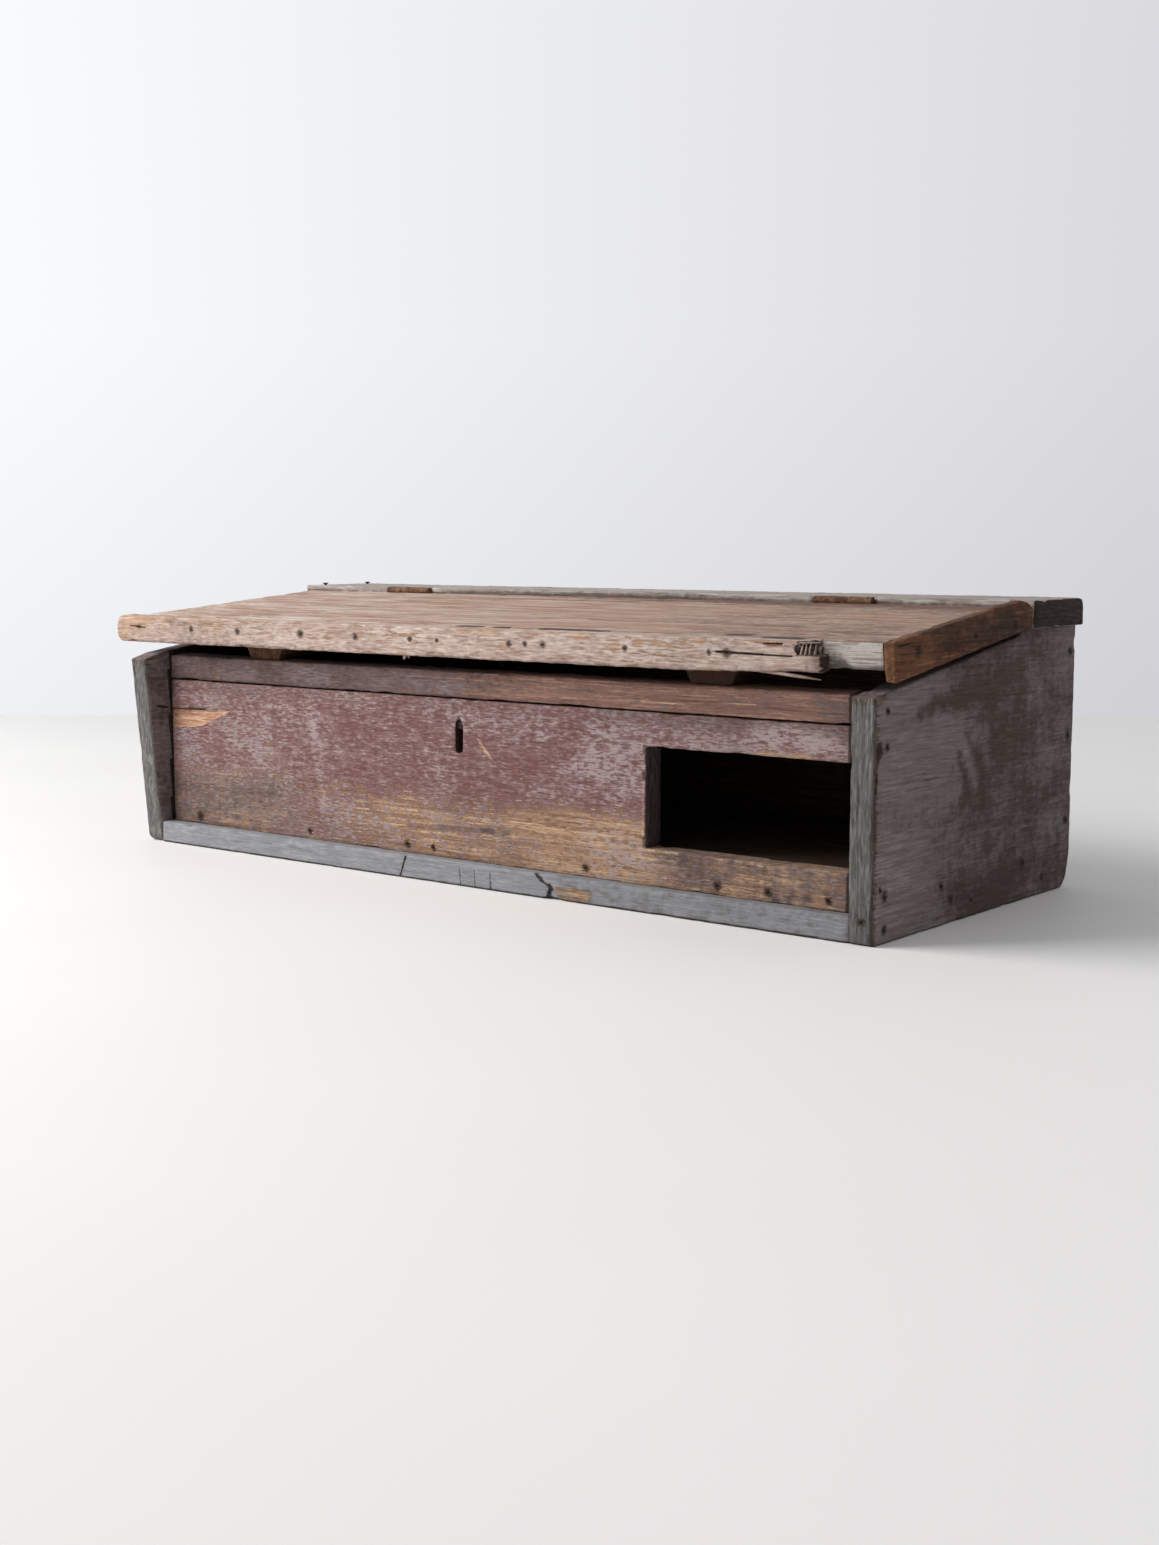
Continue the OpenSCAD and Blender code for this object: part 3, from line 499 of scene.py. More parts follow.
# Blue-grey paint: the best kept on the chest, smooth, with a few dry checks.
blue_paint = painted_pine("blue_grey_paint_on_pine", 0, 14.0, ("#8a6f5a", "#b08e72", "#c8a98b"),
                          ("#88888b", "#959599", "#a2a2a5"), "#5c5550", 0.75, -0.3, -0.45)
low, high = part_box("base_strip")
step = 0.0028
bm = face_grid(low, high, 1, step)
for v in bm.verts:
    gap = v.co.x - torn_x(v.co.z)
    if -step / 2 < gap <= step / 2:
        v.co.x -= gap
    elif step / 2 < gap <= step * 1.5:
        v.co.x = torn_x(v.co.z) + 0.0004
thicken(bm, 1, high.y - low.y, 8)
age(bm, 0.0012, 0.0002, 0.003, 3)
for x in (0.0143, 0.0316, 0.0501):
    scratch(bm, low.y, (x, 0.0025), (x - 0.001, 0.017), 0.0007, 0.0007, most=0.55)
scratch(bm, low.y, (-0.0527, 0.0205), (-0.0595, 0.002), 0.0013, 0.0016)
rust = bm.verts.layers.float["rust"]
for v in bm.verts:
    gap = v.co.x - torn_x(v.co.z)
    if v.co.y < low.y + 0.004 and gap > 0.0002:
        v.co.y += torn_deep
        v[rust] = max(v[rust], 1.2 * ramp(gap, 0.0032, 0.0))
for (z0, x0), (z1, x1) in zip(torn_edge, torn_edge[1:]):
    scratch(bm, low.y, (x0, z0), (x1, z1), 0.0011, 0.0006, most=0.75)
tint(bm, "bare", lambda p: 1.4 * ramp(p.x, 0.12, 0.127) * ramp(p.x, 0.168, 0.154)
     * ramp(abs(p.z - 0.0075), 0.0085, 0.002))
tint(bm, "grime", lambda p: 0.46 * ramp(p.x, 0.11, 0.13) + 0.1 * ramp(p.z, 0.006, 0.0))
# A near-black line along the bottom edge is a painted contact shadow at the floor.
tint(bm, "rust", lambda p: 0.9 * ramp(p.z, 0.0026, 0.0008))
finish_piece(bm, "base_plank", "box", "base_strip", "grey_paint", blue_paint)

# Floor boards: two wide pine boards laid side by side on the base strip, nailed through the front,
# the back and the ends. Bare wood, darkened by use.
for node, seed in (("floor_board_front", 4), ("floor_board_rear", 5)):
    low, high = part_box(node)
    bm = face_grid(low, high, 2, 0.006)
    thicken(bm, 2, high.z - low.z)
    age(bm, 0.001, 0.0002, 0.001, seed)
    finish_piece(bm, node.replace("board", "plank"), "box", node, "bare_wood", bare_pine)

# Back board: one wide pine board between the end boards, flush with their rear edges and down to
# the ground. It was never painted.
between_ends, middle_x = 0.806, 0.008
nail_row = [(share - 0.5) * between_ends + middle_x for share in (0.1, 0.3, 0.5, 0.7, 0.9)]
back_nails = [(x, 0.032) for x in nail_row]
low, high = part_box("back_board")
bm = face_grid(low, high, 1, 0.005)
thicken(bm, 1, high.y - low.y)
age(bm, 0.0014, 0.0003, 0.003, 6)
drive(bm, [(x, high.y, z) for x, z in back_nails], (0, 1, 0))
# Weathered pine: the back's outer face, silvered and grey-brown, with dark open grain.
back_pine = painted_pine("weathered_back_pine", 0, 11.0, ("#5f5044", "#7d6b5c", "#948270"),
                         ("#75685c", "#85786b", "#9a8e80"), "#3e332b", 0.0, -0.2, -0.15, 0.25, 8)
for f in bm.faces:
    f.material_index = 1 if f.normal.y < -facing else 0
finish_piece(bm, "back_plank", "box", "back_board", "bare_wood", back_pine, bare_pine)

# Front panel: one wide pine board between the ends, set back from their edges and nailed to the
# floor's edge. A keyhole is cut near its middle, its right part is sawn out, and its left end is chipped.
low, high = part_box("front_panel")
opening_left, opening_low, opening_high = 0.210, 0.052, 0.137
slot_left, slot_right, slot_low, slot_high, slot_corner = -0.0018, 0.007, 0.117, 0.1468, 0.0022
keyhole_high, recess_deep = 0.1385, 0.0035
chip_line = [(-0.391, 0.1155), (-0.345, 0.1202), (-0.3026, 0.1372)]
chip_top = [(-0.391, 0.1350), (-0.3026, 0.1372)]
chip_long, chip_deep = 0.088, 0.0045
# Plum paint: maroon under a chalky lilac bloom in fine flecks, rubbed to tan wood at the bottom.
plum_paint = painted_pine("plum_paint_on_pine", 0, 20.0, ("#876752", "#ba9577", "#d8b591"),
                          ("#6f4a49", "#815e5c", "#ad9b98"), "#4c3d37", 0.42, -0.17, -0.42, 0.25, 0.65)
# Sawn edge: dark from dirt, with the saw's upright marks.
sawn_edge = painted_pine("dark_sawn_edge", 2, 24.0, ("#3c302b", "#4d403a", "#5c4e47"),
                         ("#483c38", "#55484a", "#63565a"), "#2c2320", 0.1, -0.2, -0.1)


def cut(bm, axis, at):
    across = Vector((0, 0, 0))
    across[axis] = 1
    whole = bm.verts[:] + bm.edges[:] + bm.faces[:]
    bmesh.ops.bisect_plane(bm, geom=whole, plane_co=across * at, plane_no=across)


def by_slot(p, room):
    return slot_left - room < p.x < slot_right + room and slot_low - room < p.z < slot_high + room


bm = face_grid(low, high, 1, 0.0036)
for x in (opening_left, slot_left, slot_left + slot_corner, slot_right - slot_corner, slot_right):
    cut(bm, 0, x)
for z in (opening_low, opening_high, slot_low, slot_low + slot_corner, slot_high, slot_high - slot_corner):
    cut(bm, 2, z)
gone = []
for f in bm.faces:
    c = f.calc_center_median()
    if c.x > opening_left and opening_low < c.z < opening_high or by_slot(c, 0):
        gone.append(f)
bmesh.ops.delete(bm, geom=gone, context="FACES")
slot_x, slot_round = (slot_left + slot_right) / 2, (slot_right - slot_left) / 2
for v in bm.verts:
    if by_slot(v.co, 1e-5):
        middle = Vector((slot_x, v.co.y, min(max(v.co.z, slot_low + slot_round), slot_high - slot_round)))
        v.co = middle + (v.co - middle).normalized() * slot_round
thicken(bm, 1, high.y - low.y)
age(bm, 0.0011, 0.0002, 0.003, 7)
panel_nail_z = 0.029
panel_nails = [-0.35, -0.18975, -0.0616, -0.0296, 0.1467, 0.2828, 0.3309, 0.387]
drive(bm, [(x, low.y, panel_nail_z) for x in panel_nails], (0, -1, 0))
for a, b in (chip_top, chip_line[:2], chip_line[1:]):
    near = [f for f in bm.faces if f.normal.y < -facing and f.calc_center_median().x < -0.29]
    bmesh.ops.bisect_plane(bm, geom=with_rims(near), plane_co=(a[0], 0, a[1]),
                           plane_no=(a[1] - b[1], 0, b[0] - a[0]))


def chip_share(p):
    (x0, z0), (x1, z1), (x2, z2) = chip_line
    bottom = z0 + (z1 - z0) * (p.x - x0) / (x1 - x0) if p.x < x1 else z1 + (z2 - z1) * (p.x - x1) / (x2 - x1)
    top = chip_top[0][1] + (chip_top[1][1] - chip_top[0][1]) * (p.x - x0) / (x2 - x0)
    return (p.z - bottom) / (top - bottom) if p.x < x2 - 0.0005 else -1


chip = [f for f in bm.faces if f.normal.y < -facing and 0 < chip_share(f.calc_center_median()) < 1]
inside = extrude(bm, chip)
bmesh.ops.delete(bm, geom=chip, context="FACES")
fresh = bm.verts.layers.float["fresh"]
for v in inside:
    v[fresh] = 1
    inward = 0.1 + 0.9 * min(max(chip_share(v.co), 0), 1)
    v.co.y += chip_deep * inward * (chip_line[-1][0] - v.co.x) / chip_long
for a, b in (((0.0248, 0.1318), (0.0319, 0.1237)), ((0.0319, 0.1237), (0.0431, 0.1121)),
             ((0.0275, 0.1285), (0.0335, 0.1205))):
    scratch(bm, low.y, a, b, 0.0019, 0.0005, "fresh", 0.55)
scratch(bm, low.y, (-0.3905, 0.1358), (-0.338, 0.137), 0.0012, 0.001)
backing = Matrix.Translation((slot_x, (low.y + recess_deep + high.y) / 2 - 0.0005,
                              (keyhole_high + slot_high) / 2 + 0.0008))
backing = backing @ Matrix.Diagonal((slot_right - slot_left + 0.002, high.y - low.y - recess_deep - 0.001,
                                     slot_high - keyhole_high + 0.0016, 1))
filled = bmesh.ops.create_cube(bm, size=1, matrix=backing)["verts"]
# The keyhole's walls are painted near black and the backing in its top dark, as painted shade in the hole.
rust, wear = bm.verts.layers.float["rust"], bm.verts.layers.float["wear"]
for v in bm.verts:
    if by_slot(v.co, 0.004):
        v[wear] = 0
        if v.co.y > low.y + 0.0006:
            v[rust] = 0.65 if v in filled else 1
tint(bm, "bare", lambda p: 0.54 * ramp(p.z, 0.104, 0.055) * ramp(p.x, -0.33, 0.02)
     * (1 - 0.3 * ramp(p.x, 0.2, 0.24)))
tint(bm, "chalk", lambda p: 0.14 * ramp(p.z, 0.09, 0.05))
tint(bm, "bare", lambda p: 0.28 * ramp(p.z, 0.125, 0.06) * ramp(p.x, -0.1, -0.3))
tint(bm, "bare", lambda p: 0.5 * ramp(p.x, 0.29, 0.33) * ramp(p.x, 0.39, 0.36) * ramp(p.z, 0.145, 0.138))
tint(bm, "chalk", lambda p: 0.07 * ramp(p.x, -0.14, -0.3)
     + 0.16 * ramp(p.x, 0.1, 0.19) * ramp(p.z, 0.075, 0.115))
tint(bm, "chalk", lambda p: -0.14 * ramp(p.x, -0.2, -0.12) * ramp(p.x, 0.15, 0.08) * ramp(p.z, 0.145, 0.125))
tint(bm, "grime", lambda p: 0.3 * ramp(p.z, 0.146, 0.158)
     + 0.16 * ramp(p.x, 0.1, 0.2) * ramp(p.z, 0.12, 0.14))
panel_stains = (
    ("grime", -0.4, 0.014, (0.315, 0.151), (0.345, 0.154), (0.385, 0.149)),
    ("chalk", 0.3, 0.013, (0.315, 0.151), (0.345, 0.154), (0.385, 0.149)),
    ("chalk", 0.35, 0.012, (-0.185, 0.15), (-0.184, 0.117), (-0.171, 0.0557)),
    ("bare", 0.35, 0.016, (-0.245, 0.102), (-0.232, 0.102)),
    ("bare", 0.32, 0.022, (0.07, 0.062), (0.13, 0.07), (0.2, 0.062)),
    ("bare", -0.2, 0.005, (-0.06, 0.0455), (-0.0153, 0.0485), (0.04, 0.05)),
    ("grime", 0.42, 0.005, (-0.06, 0.0455), (-0.0153, 0.0485), (0.04, 0.05)),
    ("grime", 0.32, 0.0045, (0.03, 0.05), (0.1, 0.0515)))
for mark, most, reach, *points in panel_stains:
    brush(bm, mark, most, reach, *((x, low.y, z) for x, z in points))
# A painted dark gap, painted shade in the corner by the right end board, starts this far from the panel's and
# the rail's ends.
painted_gap_from, painted_gap_to = 0.0105, 0.0092
tint(bm, "rust", lambda p: ramp(p.x, high.x - painted_gap_from, high.x - painted_gap_to))
tint(bm, "grime", lambda p: 0.2 * ramp(p.x, -0.1, -0.32)
     + 0.4 * ramp(p.x, -0.1, -0.28) * ramp(p.z, 0.11, 0.05))
tint(bm, "grime", lambda p: 0.2 * ramp(p.x, -0.375, -0.388)
     + 0.52 * ramp(p.x, 0.16, 0.26) * ramp(p.z, 0.06, 0.05))
tint(bm, "grime", lambda p: 0.11 * ramp(p.z, 0.09, 0.06))
tint(bm, "grime", lambda p: 0.2 * ramp(p.x, 0.2, 0.25) * ramp(p.z, 0.136, 0.142))
for f in bm.faces:
    sawn = f.normal.x > facing and f.calc_center_median().x > 0.1
    f.material_index = 1 if f.normal.y > facing else 2 if sawn else 0
finish_piece(bm, "front_plank", "box", "front_panel", "plum_paint", plum_paint, bare_pine, sawn_edge)

# Front rail: a narrow pine board above the panel, planed on top to the lid's slope. A thin open gap
# shows between the two. Its brown-mauve paint is thin and rubbed.
rail_paint = painted_pine("brown_mauve_paint_on_pine", 0, 26.0, ("#795a50", "#947062", "#b28a76"),
                          ("#665350", "#75615e", "#94858a"), "#43332d", 0.3, -0.36, -0.42)
low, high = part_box("front_rail")
rail_front_z = 0.1895
bm = face_grid(low, high, 1, 0.0036)
thicken(bm, 1, high.y - low.y)
for v in bm.verts:
    top = rail_front_z + (v.co.y - low.y) * (high.z - rail_front_z) / (high.y - low.y)
    v.co.z = low.z + (v.co.z - low.z) * (top - low.z) / (high.z - low.z)
age(bm, 0.0013, 0.0003, 0.003, 8)
for a, b in (((0.175, 0.1795), (0.215, 0.1762)), ((0.205, 0.1745), (0.24, 0.1735)),
             ((0.232, 0.1738), (0.27, 0.1756)), ((0.272, 0.1757), (0.32, 0.177))):
    scratch(bm, low.y, a, b, 0.0009, 0.0002, "fresh", 0.42)
# Grime all along, darker towards the bottom; darker to the left and lighter to the right as a painted shadow
# of the lid's overhang.
tint(bm, "grime", lambda p: 0.38 + 0.32 * ramp(p.x, -0.06, -0.28) + 0.15 * ramp(p.z, 0.171, low.z))
tint(bm, "grime", lambda p: -0.1 * ramp(p.x, 0.0, 0.15) - 0.38 * ramp(p.x, 0.2, 0.32))
tint(bm, "bare", lambda p: 0.5 * ramp(p.x, -0.1, 0.06) - 0.3 * ramp(p.x, 0.36, 0.39))
# The painted dark gap by the right end board, as on the panel.
tint(bm, "rust", lambda p: ramp(p.x, high.x - painted_gap_from, high.x - painted_gap_to))
for x0, x1 in ((-0.31, -0.27), (-0.21, -0.17), (-0.08, 0.0)):
    for mark, most in (("chalk", 0.2), ("grime", -0.2)):
        brush(bm, mark, most, 0.022, (x0, low.y, 0.178), (x1, low.y, 0.176))
for f in bm.faces:
    f.material_index = 1 if f.normal.y > facing else 0
finish_piece(bm, "rail_plank", "box", "front_rail", "mauve_paint", rail_paint, bare_pine)

# Rear top board: a fixed board across the ends behind the lid, nailed down to them and to the back.
# Weathered silver-grey on top, dark along the hinges' seam, its right end grain almost black.
grey_pine = painted_pine("weathered_grey_pine", 0, 31.0, ("#94847a", "#ab9d94", "#c0b4ac"),
                         ("#a79b93", "#b6aca5", "#cac2bc"), "#51443c", 0.1, -0.2, -0.4, 0.4, 3)
# End grain: it took up the most dirt, so it is almost black.
end_grain = painted_pine("dark_end_grain", 1, 33.0, ("#2b211b", "#382d26", "#443830"),
                         ("#332922", "#3b3029", "#483d35"), "#211914", 0.0, -0.3, -0.1)
low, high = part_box("rear_top_board")
hinge_middles, hinge_room = (-0.26995, 0.2613), 0.0322
bm = face_grid(low, high, 2, 0.0038)
for v in bm.verts:
    if v.co.y < low.y + 0.001 and min(abs(v.co.x - x) for x in hinge_middles) < hinge_room:
        v.co.y += 0.0031
thicken(bm, 2, high.z - low.z)
age(bm, 0.0016, 0.0003, 0.004, 9)
rear_top_nails = [(x, y) for x in (-0.406, 0.422) for y in (0.08126, 0.14625)]
rear_top_nails += [(x, 0.164) for x in nail_row]
drive(bm, [(x, y, high.z) for x, y in rear_top_nails], (0, 0, 1))
tint(bm, "grime", lambda p: 0.7 * ramp(p.z, 0.2525, 0.2505) if p.y < low.y + 0.01 else 0)
tint(bm, "grime",
     lambda p: 0.45 * ramp(p.x, -0.3, -0.1) * ramp(p.x, 0.2, 0.05) if p.y < low.y + 0.006 else 0)
for f in bm.faces:
    f.material_index = 1 if abs(f.normal.x) > facing else 0
finish_piece(bm, "rear_top_plank", "box", "rear_top_board", "grey_wood", grey_pine, end_grain)

# Lid board: one wide pine board on the hinges, sloping down to the front. Its top is worn grey-brown
# with long grain lines. It is drawn flat and then tilted to the slope at which its cleats rest.
seam_y, seam_z = 0.0725, 0.250
# The rail's top front edge: how far ahead of the seam, below it and under the lid's top it lies.
rail_run, rail_drop, rail_under = 0.223, 0.0605, 0.0412
lid_slope = math.atan2(rail_drop, rail_run) - math.asin(rail_under / math.hypot(rail_run, rail_drop))
lid_place = Matrix.Translation((0, seam_y, seam_z)) @ Matrix.Rotation(lid_slope, 4, "X")
lid_run, lid_thick = 0.229, 0.022
lid_depth = lid_run / math.cos(lid_slope)
lid_left, lid_right = -0.418, 0.434
# Worn lid pine: the paint is gone but for a grey-pink film, polished a little by use.
lid_pine = painted_pine("worn_lid_pine", 0, 37.0, ("#96715c", "#be9982", "#d7b9a4"),
                        ("#b29484", "#c5ab9b", "#dfcec2"), "#5f4032", 0.0, -0.33, -0.45, 0.4, 6)
bm = face_grid(Vector((lid_left, -lid_depth, -lid_thick)), Vector((lid_right, -0.001, 0)), 2, 0.0038)
for v in bm.verts:
    if v.co.y > -0.0015 and min(abs(v.co.x - x) for x in hinge_middles) < hinge_room:
        v.co.y -= 0.0022
thicken(bm, 2, lid_thick)
for v in bm.verts:
    if v.co.y > -0.004:
        v.co.y += v.co.z * math.tan(lid_slope)
age(bm, 0.0014, 0.00025, 0.003, 10)
for x0, x1, y in ((-0.12, 0.06, -0.031), (0.05, 0.21, -0.018), (-0.3, -0.21, -0.118), (0.1, 0.33, -0.162)):
    score(bm, (x0, y, 0), (x1, y - 0.001, 0), (0, 0, 1), 0.0009, 0.001)
# Darker by the hinges' seam, and darker towards the right as painted shade.
tint(bm, "grime", lambda p: 0.6 * ramp(p.y, -0.05, -0.004) * ramp(p.x, -0.3, 0.0)
     + 0.56 * ramp(p.x, -0.15, 0.36))
seam_gaps = ((0.0096, 0.033), (0.052, 0.063), (0.104, 0.149), (0.156, 0.171), (0.33, 0.36))
for x0, x1 in seam_gaps:
    brush(bm, "rust", 1.5, 0.008, (x0, 0.001 - lid_depth, 0), (x1, 0.001 - lid_depth, 0))
brush(bm, "rust", 1.4, 0.007, (0.29, 0.009 - lid_depth, 0), (0.309, 0.01 - lid_depth, 0))
# Lighter towards the left as a painted sheen, and chalkier near the front.
tint(bm, "chalk", lambda p: 0.3 * ramp(p.x, 0.05, -0.4) + 0.2 * ramp(p.y, -0.2, -0.228))
tint(bm, "grime", lambda p: ramp(p.z, -0.018, -0.022))
for mark, most in (("chalk", 0.36), ("grime", -0.17), ("bare", 0.4)):
    tint(bm, mark, lambda p: most if p.y < 0.001 - lid_depth else 0)
for f in bm.faces:
    upright = 2 if f.normal.y < -facing else 3 if abs(f.normal.x) > facing else 0
    f.material_index = 1 if f.normal.z < -facing else upright
# On the lid's front edge by the broken strip end: a near-black stripe of painted shadow and dirt, and a dark
# patch of painted shadow.
brush(bm, "rust", 0.9, 0.004, (0.38, -lid_depth, 0.0), (0.3815, -lid_depth, -0.01))
brush(bm, "grime", 0.7, 0.009, (0.391, -lid_depth, -0.014), (0.398, -lid_depth, -0.018))
finish_piece(bm, "lid_plank", "lid", "lid_board", "grey_wood",
             lid_pine, bare_pine, grey_pine, end_grain, placing=lid_place)

# Lid front strip: a pine nosing nailed on the lid's front edge. Its left end is rounded and runs past
# the lid. Its right end broke off along a split, and splinters still hang there.
strip_deep, strip_tall = 0.016, 0.0262
strip_front = -lid_depth - strip_deep
strip_left, strip_right, strip_split, broken_from = -0.4485, 0.3946, -0.0108, 0.34
# Rubbed nosing pine: pale and pinkish, worn to peach wood in places, stained round the nails.
strip_pine = painted_pine("rubbed_nosing_pine", 0, 43.0, ("#a8856c", "#c7a58b", "#dcc0a5"),
                          ("#a98f84", "#c2aa9d", "#dac7bb"), "#604738", 0.3, -0.18, -0.32, 0.3)
bm = face_grid(Vector((strip_left, strip_front, -strip_tall)), Vector((strip_right, 0, 0)), 1, 0.0018)
for z in (strip_split, strip_split + 0.0006):
    cut(bm, 2, z)
for up, sign in ((0, 1), (-strip_tall, -1)):
    round_corner(bm, 0, 2, (strip_left, up), 0.009, (-1, sign))
thicken(bm, 1, strip_deep, 8)
age(bm, 0.0014, 0.00035, 0.005, 11)
strip_nail_z = -0.011
strip_nails = [-0.4128, -0.3328, -0.2651, -0.1772, -0.1047, -0.0362, -0.0039, 0.0799, 0.0976, 0.117, 0.204,
               0.287, 0.304]
for x in strip_nails:
    hole = 0.0034 if x in (-0.1772, 0.287) else 0.0026
    drive(bm, [(x, strip_front, strip_nail_z)], (0, -1, 0), hole, spread=0.006)
scratch(bm, strip_front, (0.292, -0.0102), (0.366, strip_split - 0.0006), 0.0013, 0.006)
scratch(bm, strip_front, (0.338, -0.0022), (0.37, -0.002), 0.0011, 0.004)
scratch(bm, strip_front, (-0.428, -0.0098), (-0.402, -0.0112), 0.001, 0.0008)
# The broken end is painted dark in the gaps between its fibres and over its lower end face: dark end grain
# and painted shade.
rust = bm.verts.layers.float["rust"]
for v in bm.verts:
    if v.co.x > broken_from - 0.08:
        v.co.z += 0.003 * ramp(v.co.x, broken_from - 0.08, 0.38) * ramp(v.co.z, -0.016, -strip_tall)
    if v.co.x > broken_from:
        at_end = ramp(v.co.x, strip_right - 0.0035, strip_right - 0.001)
        back = (v.co.y - strip_front) / strip_deep
        fibre = noise.noise(Vector((back * 7, 3.1, v.co.z * 430)))
        if v.co.z > strip_split + 0.0003:
            end = 0.368 + 0.0105 * back + 0.006 * fibre
            v[rust] = max(v[rust], at_end * (0.75 - 0.7 * fibre))
        else:
            end = strip_right - 0.0045 - 0.003 * back + 0.003 * fibre
            v[rust] = max(v[rust], at_end * (0.8 - 0.5 * fibre))
        v.co.x = broken_from + (v.co.x - broken_from) * (end - broken_from) / (strip_right - broken_from)
bm.normal_update()
for f in bm.faces:
    if f.normal.x > 0.4 and f.calc_center_median().x > broken_from:
        for e in f.edges:
            e.smooth = False
splinters = (
    ((0.33, 0.004, -0.0238), (0.35, 0.0025, -0.0252), (0.37, 0.0014, -0.0268), (0.3885, 0.0008, -0.0284)),
    ((0.3702, 0.002, -0.0114), (0.3716, 0.0016, -0.007), (0.3736, 0.0012, -0.0015)),
    ((0.3732, 0.003, -0.0114), (0.3752, 0.0024, -0.006), (0.3762, 0.0018, -0.001)),
    ((0.3772, 0.004, -0.0114), (0.3778, 0.0034, -0.006), (0.3796, 0.003, -0.0012)),
    ((0.3806, 0.005, -0.0114), (0.3825, 0.0044, -0.0065), (0.3832, 0.004, -0.0022)),
    ((0.3848, 0.007, -0.0114), (0.3856, 0.006, -0.0062), (0.3875, 0.006, -0.003)),
    ((0.36, 0.003, -0.0016), (0.374, 0.0045, -0.0014), (0.384, 0.008, -0.0012)),
    ((-0.0478, 0.003, -0.0255), (-0.047, 0.002, -0.028), (-0.0462, 0.001, -0.03)),
    ((-0.0445, 0.003, -0.0255), (-0.0452, 0.002, -0.0274), (-0.0455, 0.001, -0.029)),
    ((-0.0425, 0.003, -0.0255), (-0.041, 0.002, -0.0271), (-0.04, 0.001, -0.0284)))


def taper(bm, sides, wide, narrow, length, place):
    return bmesh.ops.create_cone(bm, cap_ends=True, segments=sides, radius1=wide, radius2=narrow,
                                 depth=length, matrix=place)["verts"]


for splinter in splinters:
    points = [Vector((x, strip_front + deep, z)) for x, deep, z in splinter]
    thick = 0.0016 if len(points) > 3 else 0.001
    for start, end in zip(points, points[1:]):
        turn = (end - start).to_track_quat("Z", "Y").to_matrix().to_4x4()
        thin = thick * (0.35 if end is points[-1] else 0.9)
        place = Matrix.Translation((start + end) / 2) @ turn
        cone = taper(bm, 6, thick, thin, (end - start).length, place)
        caps = {f for v in cone for f in v.link_faces if len(f.verts) == 6}
        for e in {e for f in caps for e in f.edges}:
            e.smooth = False
        thick = thin
rubbed = ((-0.43, -0.29, -0.005, 0.014, 0.4), (-0.19, -0.03, -0.009, 0.011, 0.32),
          (0.045, 0.066, -0.003, 0.008, 0.4), (0.15, 0.162, -0.003, 0.008, 0.4),
          (0.182, 0.196, -0.011, 0.007, 0.4), (0.22, 0.28, -0.005, 0.009, 0.36),
          (0.072, 0.077, -0.014, 0.006, 0.5), (-0.32, -0.2, -0.021, 0.008, -0.5),
          (0.3, 0.385, -0.02, 0.008, -0.4))
for x0, x1, z, reach, most in rubbed:
    brush(bm, "bare", most, reach, (x0, strip_front, z), (x1, strip_front, z))
# Darker along the lower edge as painted shade, darker towards both ends, and dimmer over the broken end.
tint(bm, "grime", lambda p: 0.3 * ramp(p.z, -0.0205, -0.026) + 0.26 * ramp(p.x, 0.1, 0.35))
tint(bm, "grime", lambda p: 0.27 * ramp(p.x, -0.15, -0.35) + 0.35 * ramp(p.x, 0.372, 0.39))
tint(bm, "bare", lambda p: 0.4 * ramp(p.x, -0.39, -0.44))
for x0, x1 in seam_gaps:
    brush(bm, "rust", 1.5, 0.006, (x0, -lid_depth, 0), (x1, -lid_depth, 0))
finish_piece(bm, "nosing_strip", "lid", "lid_front_strip", "tan_wood", strip_pine, placing=lid_place)

# Lid batten: a thin strip nailed askew on the lid's right edge, so that it stands above the lid at the
# back, where its corner is cut. Its twin on the left is lost. Bare orange-brown wood, dark with dirt.
brown_pine = painted_pine("orange_brown_pine", 1, 47.0, ("#66402a", "#825536", "#9c6a45"),
                          ("#633f2b", "#744c35", "#825b42"), "#32211a", -0.1, -0.3, -0.2)
batten_nails = [(-share * lid_depth, -0.011) for share in (0.15, 0.45, 0.85)]
batten_thick, batten_rear = 0.01, -0.002
batten_x = lid_right + batten_thick
batten_top = [(-lid_depth, 0.0), (-0.022, 0.008), (-0.011, 0.0052), (batten_rear, 0.0)]
batten_front_high, batten_rear_low = 0.031, -0.017
bm = face_grid(Vector((lid_right, -lid_depth, -batten_front_high)), Vector((batten_x, batten_rear, 0)),
               0, 0.0028)
for v in bm.verts:
    along = (v.co.y + lid_depth) / (lid_depth + batten_rear)
    bottom = -batten_front_high + (batten_rear_low + batten_front_high) * along
    for (y0, z0), (y1, z1) in zip(batten_top, batten_top[1:]):
        if v.co.y <= y1 + 1e-6:
            top = z0 + (z1 - z0) * (v.co.y - y0) / (y1 - y0)
            break
    v.co.z = bottom + (top - bottom) * (1 + v.co.z / batten_front_high)
thicken(bm, 0, batten_thick, 3)
age(bm, 0.0012, 0.0003, 0.004, 12)
drive(bm, [(batten_x, y, z) for y, z in batten_nails], (1, 0, 0))
score(bm, (batten_x, -0.226, -0.0035), (batten_x, -0.204, -0.004), (1, 0, 0), 0.001, 0.001)
tint(bm, "grime", lambda p: 0.16 + 0.4 * ramp(p.y, -0.215, -0.15) - 0.15 * ramp(p.z, 0.0, 0.008))
finish_piece(bm, "batten_strip", "lid", "lid_batten", "brown_wood", brown_pine, placing=lid_place)

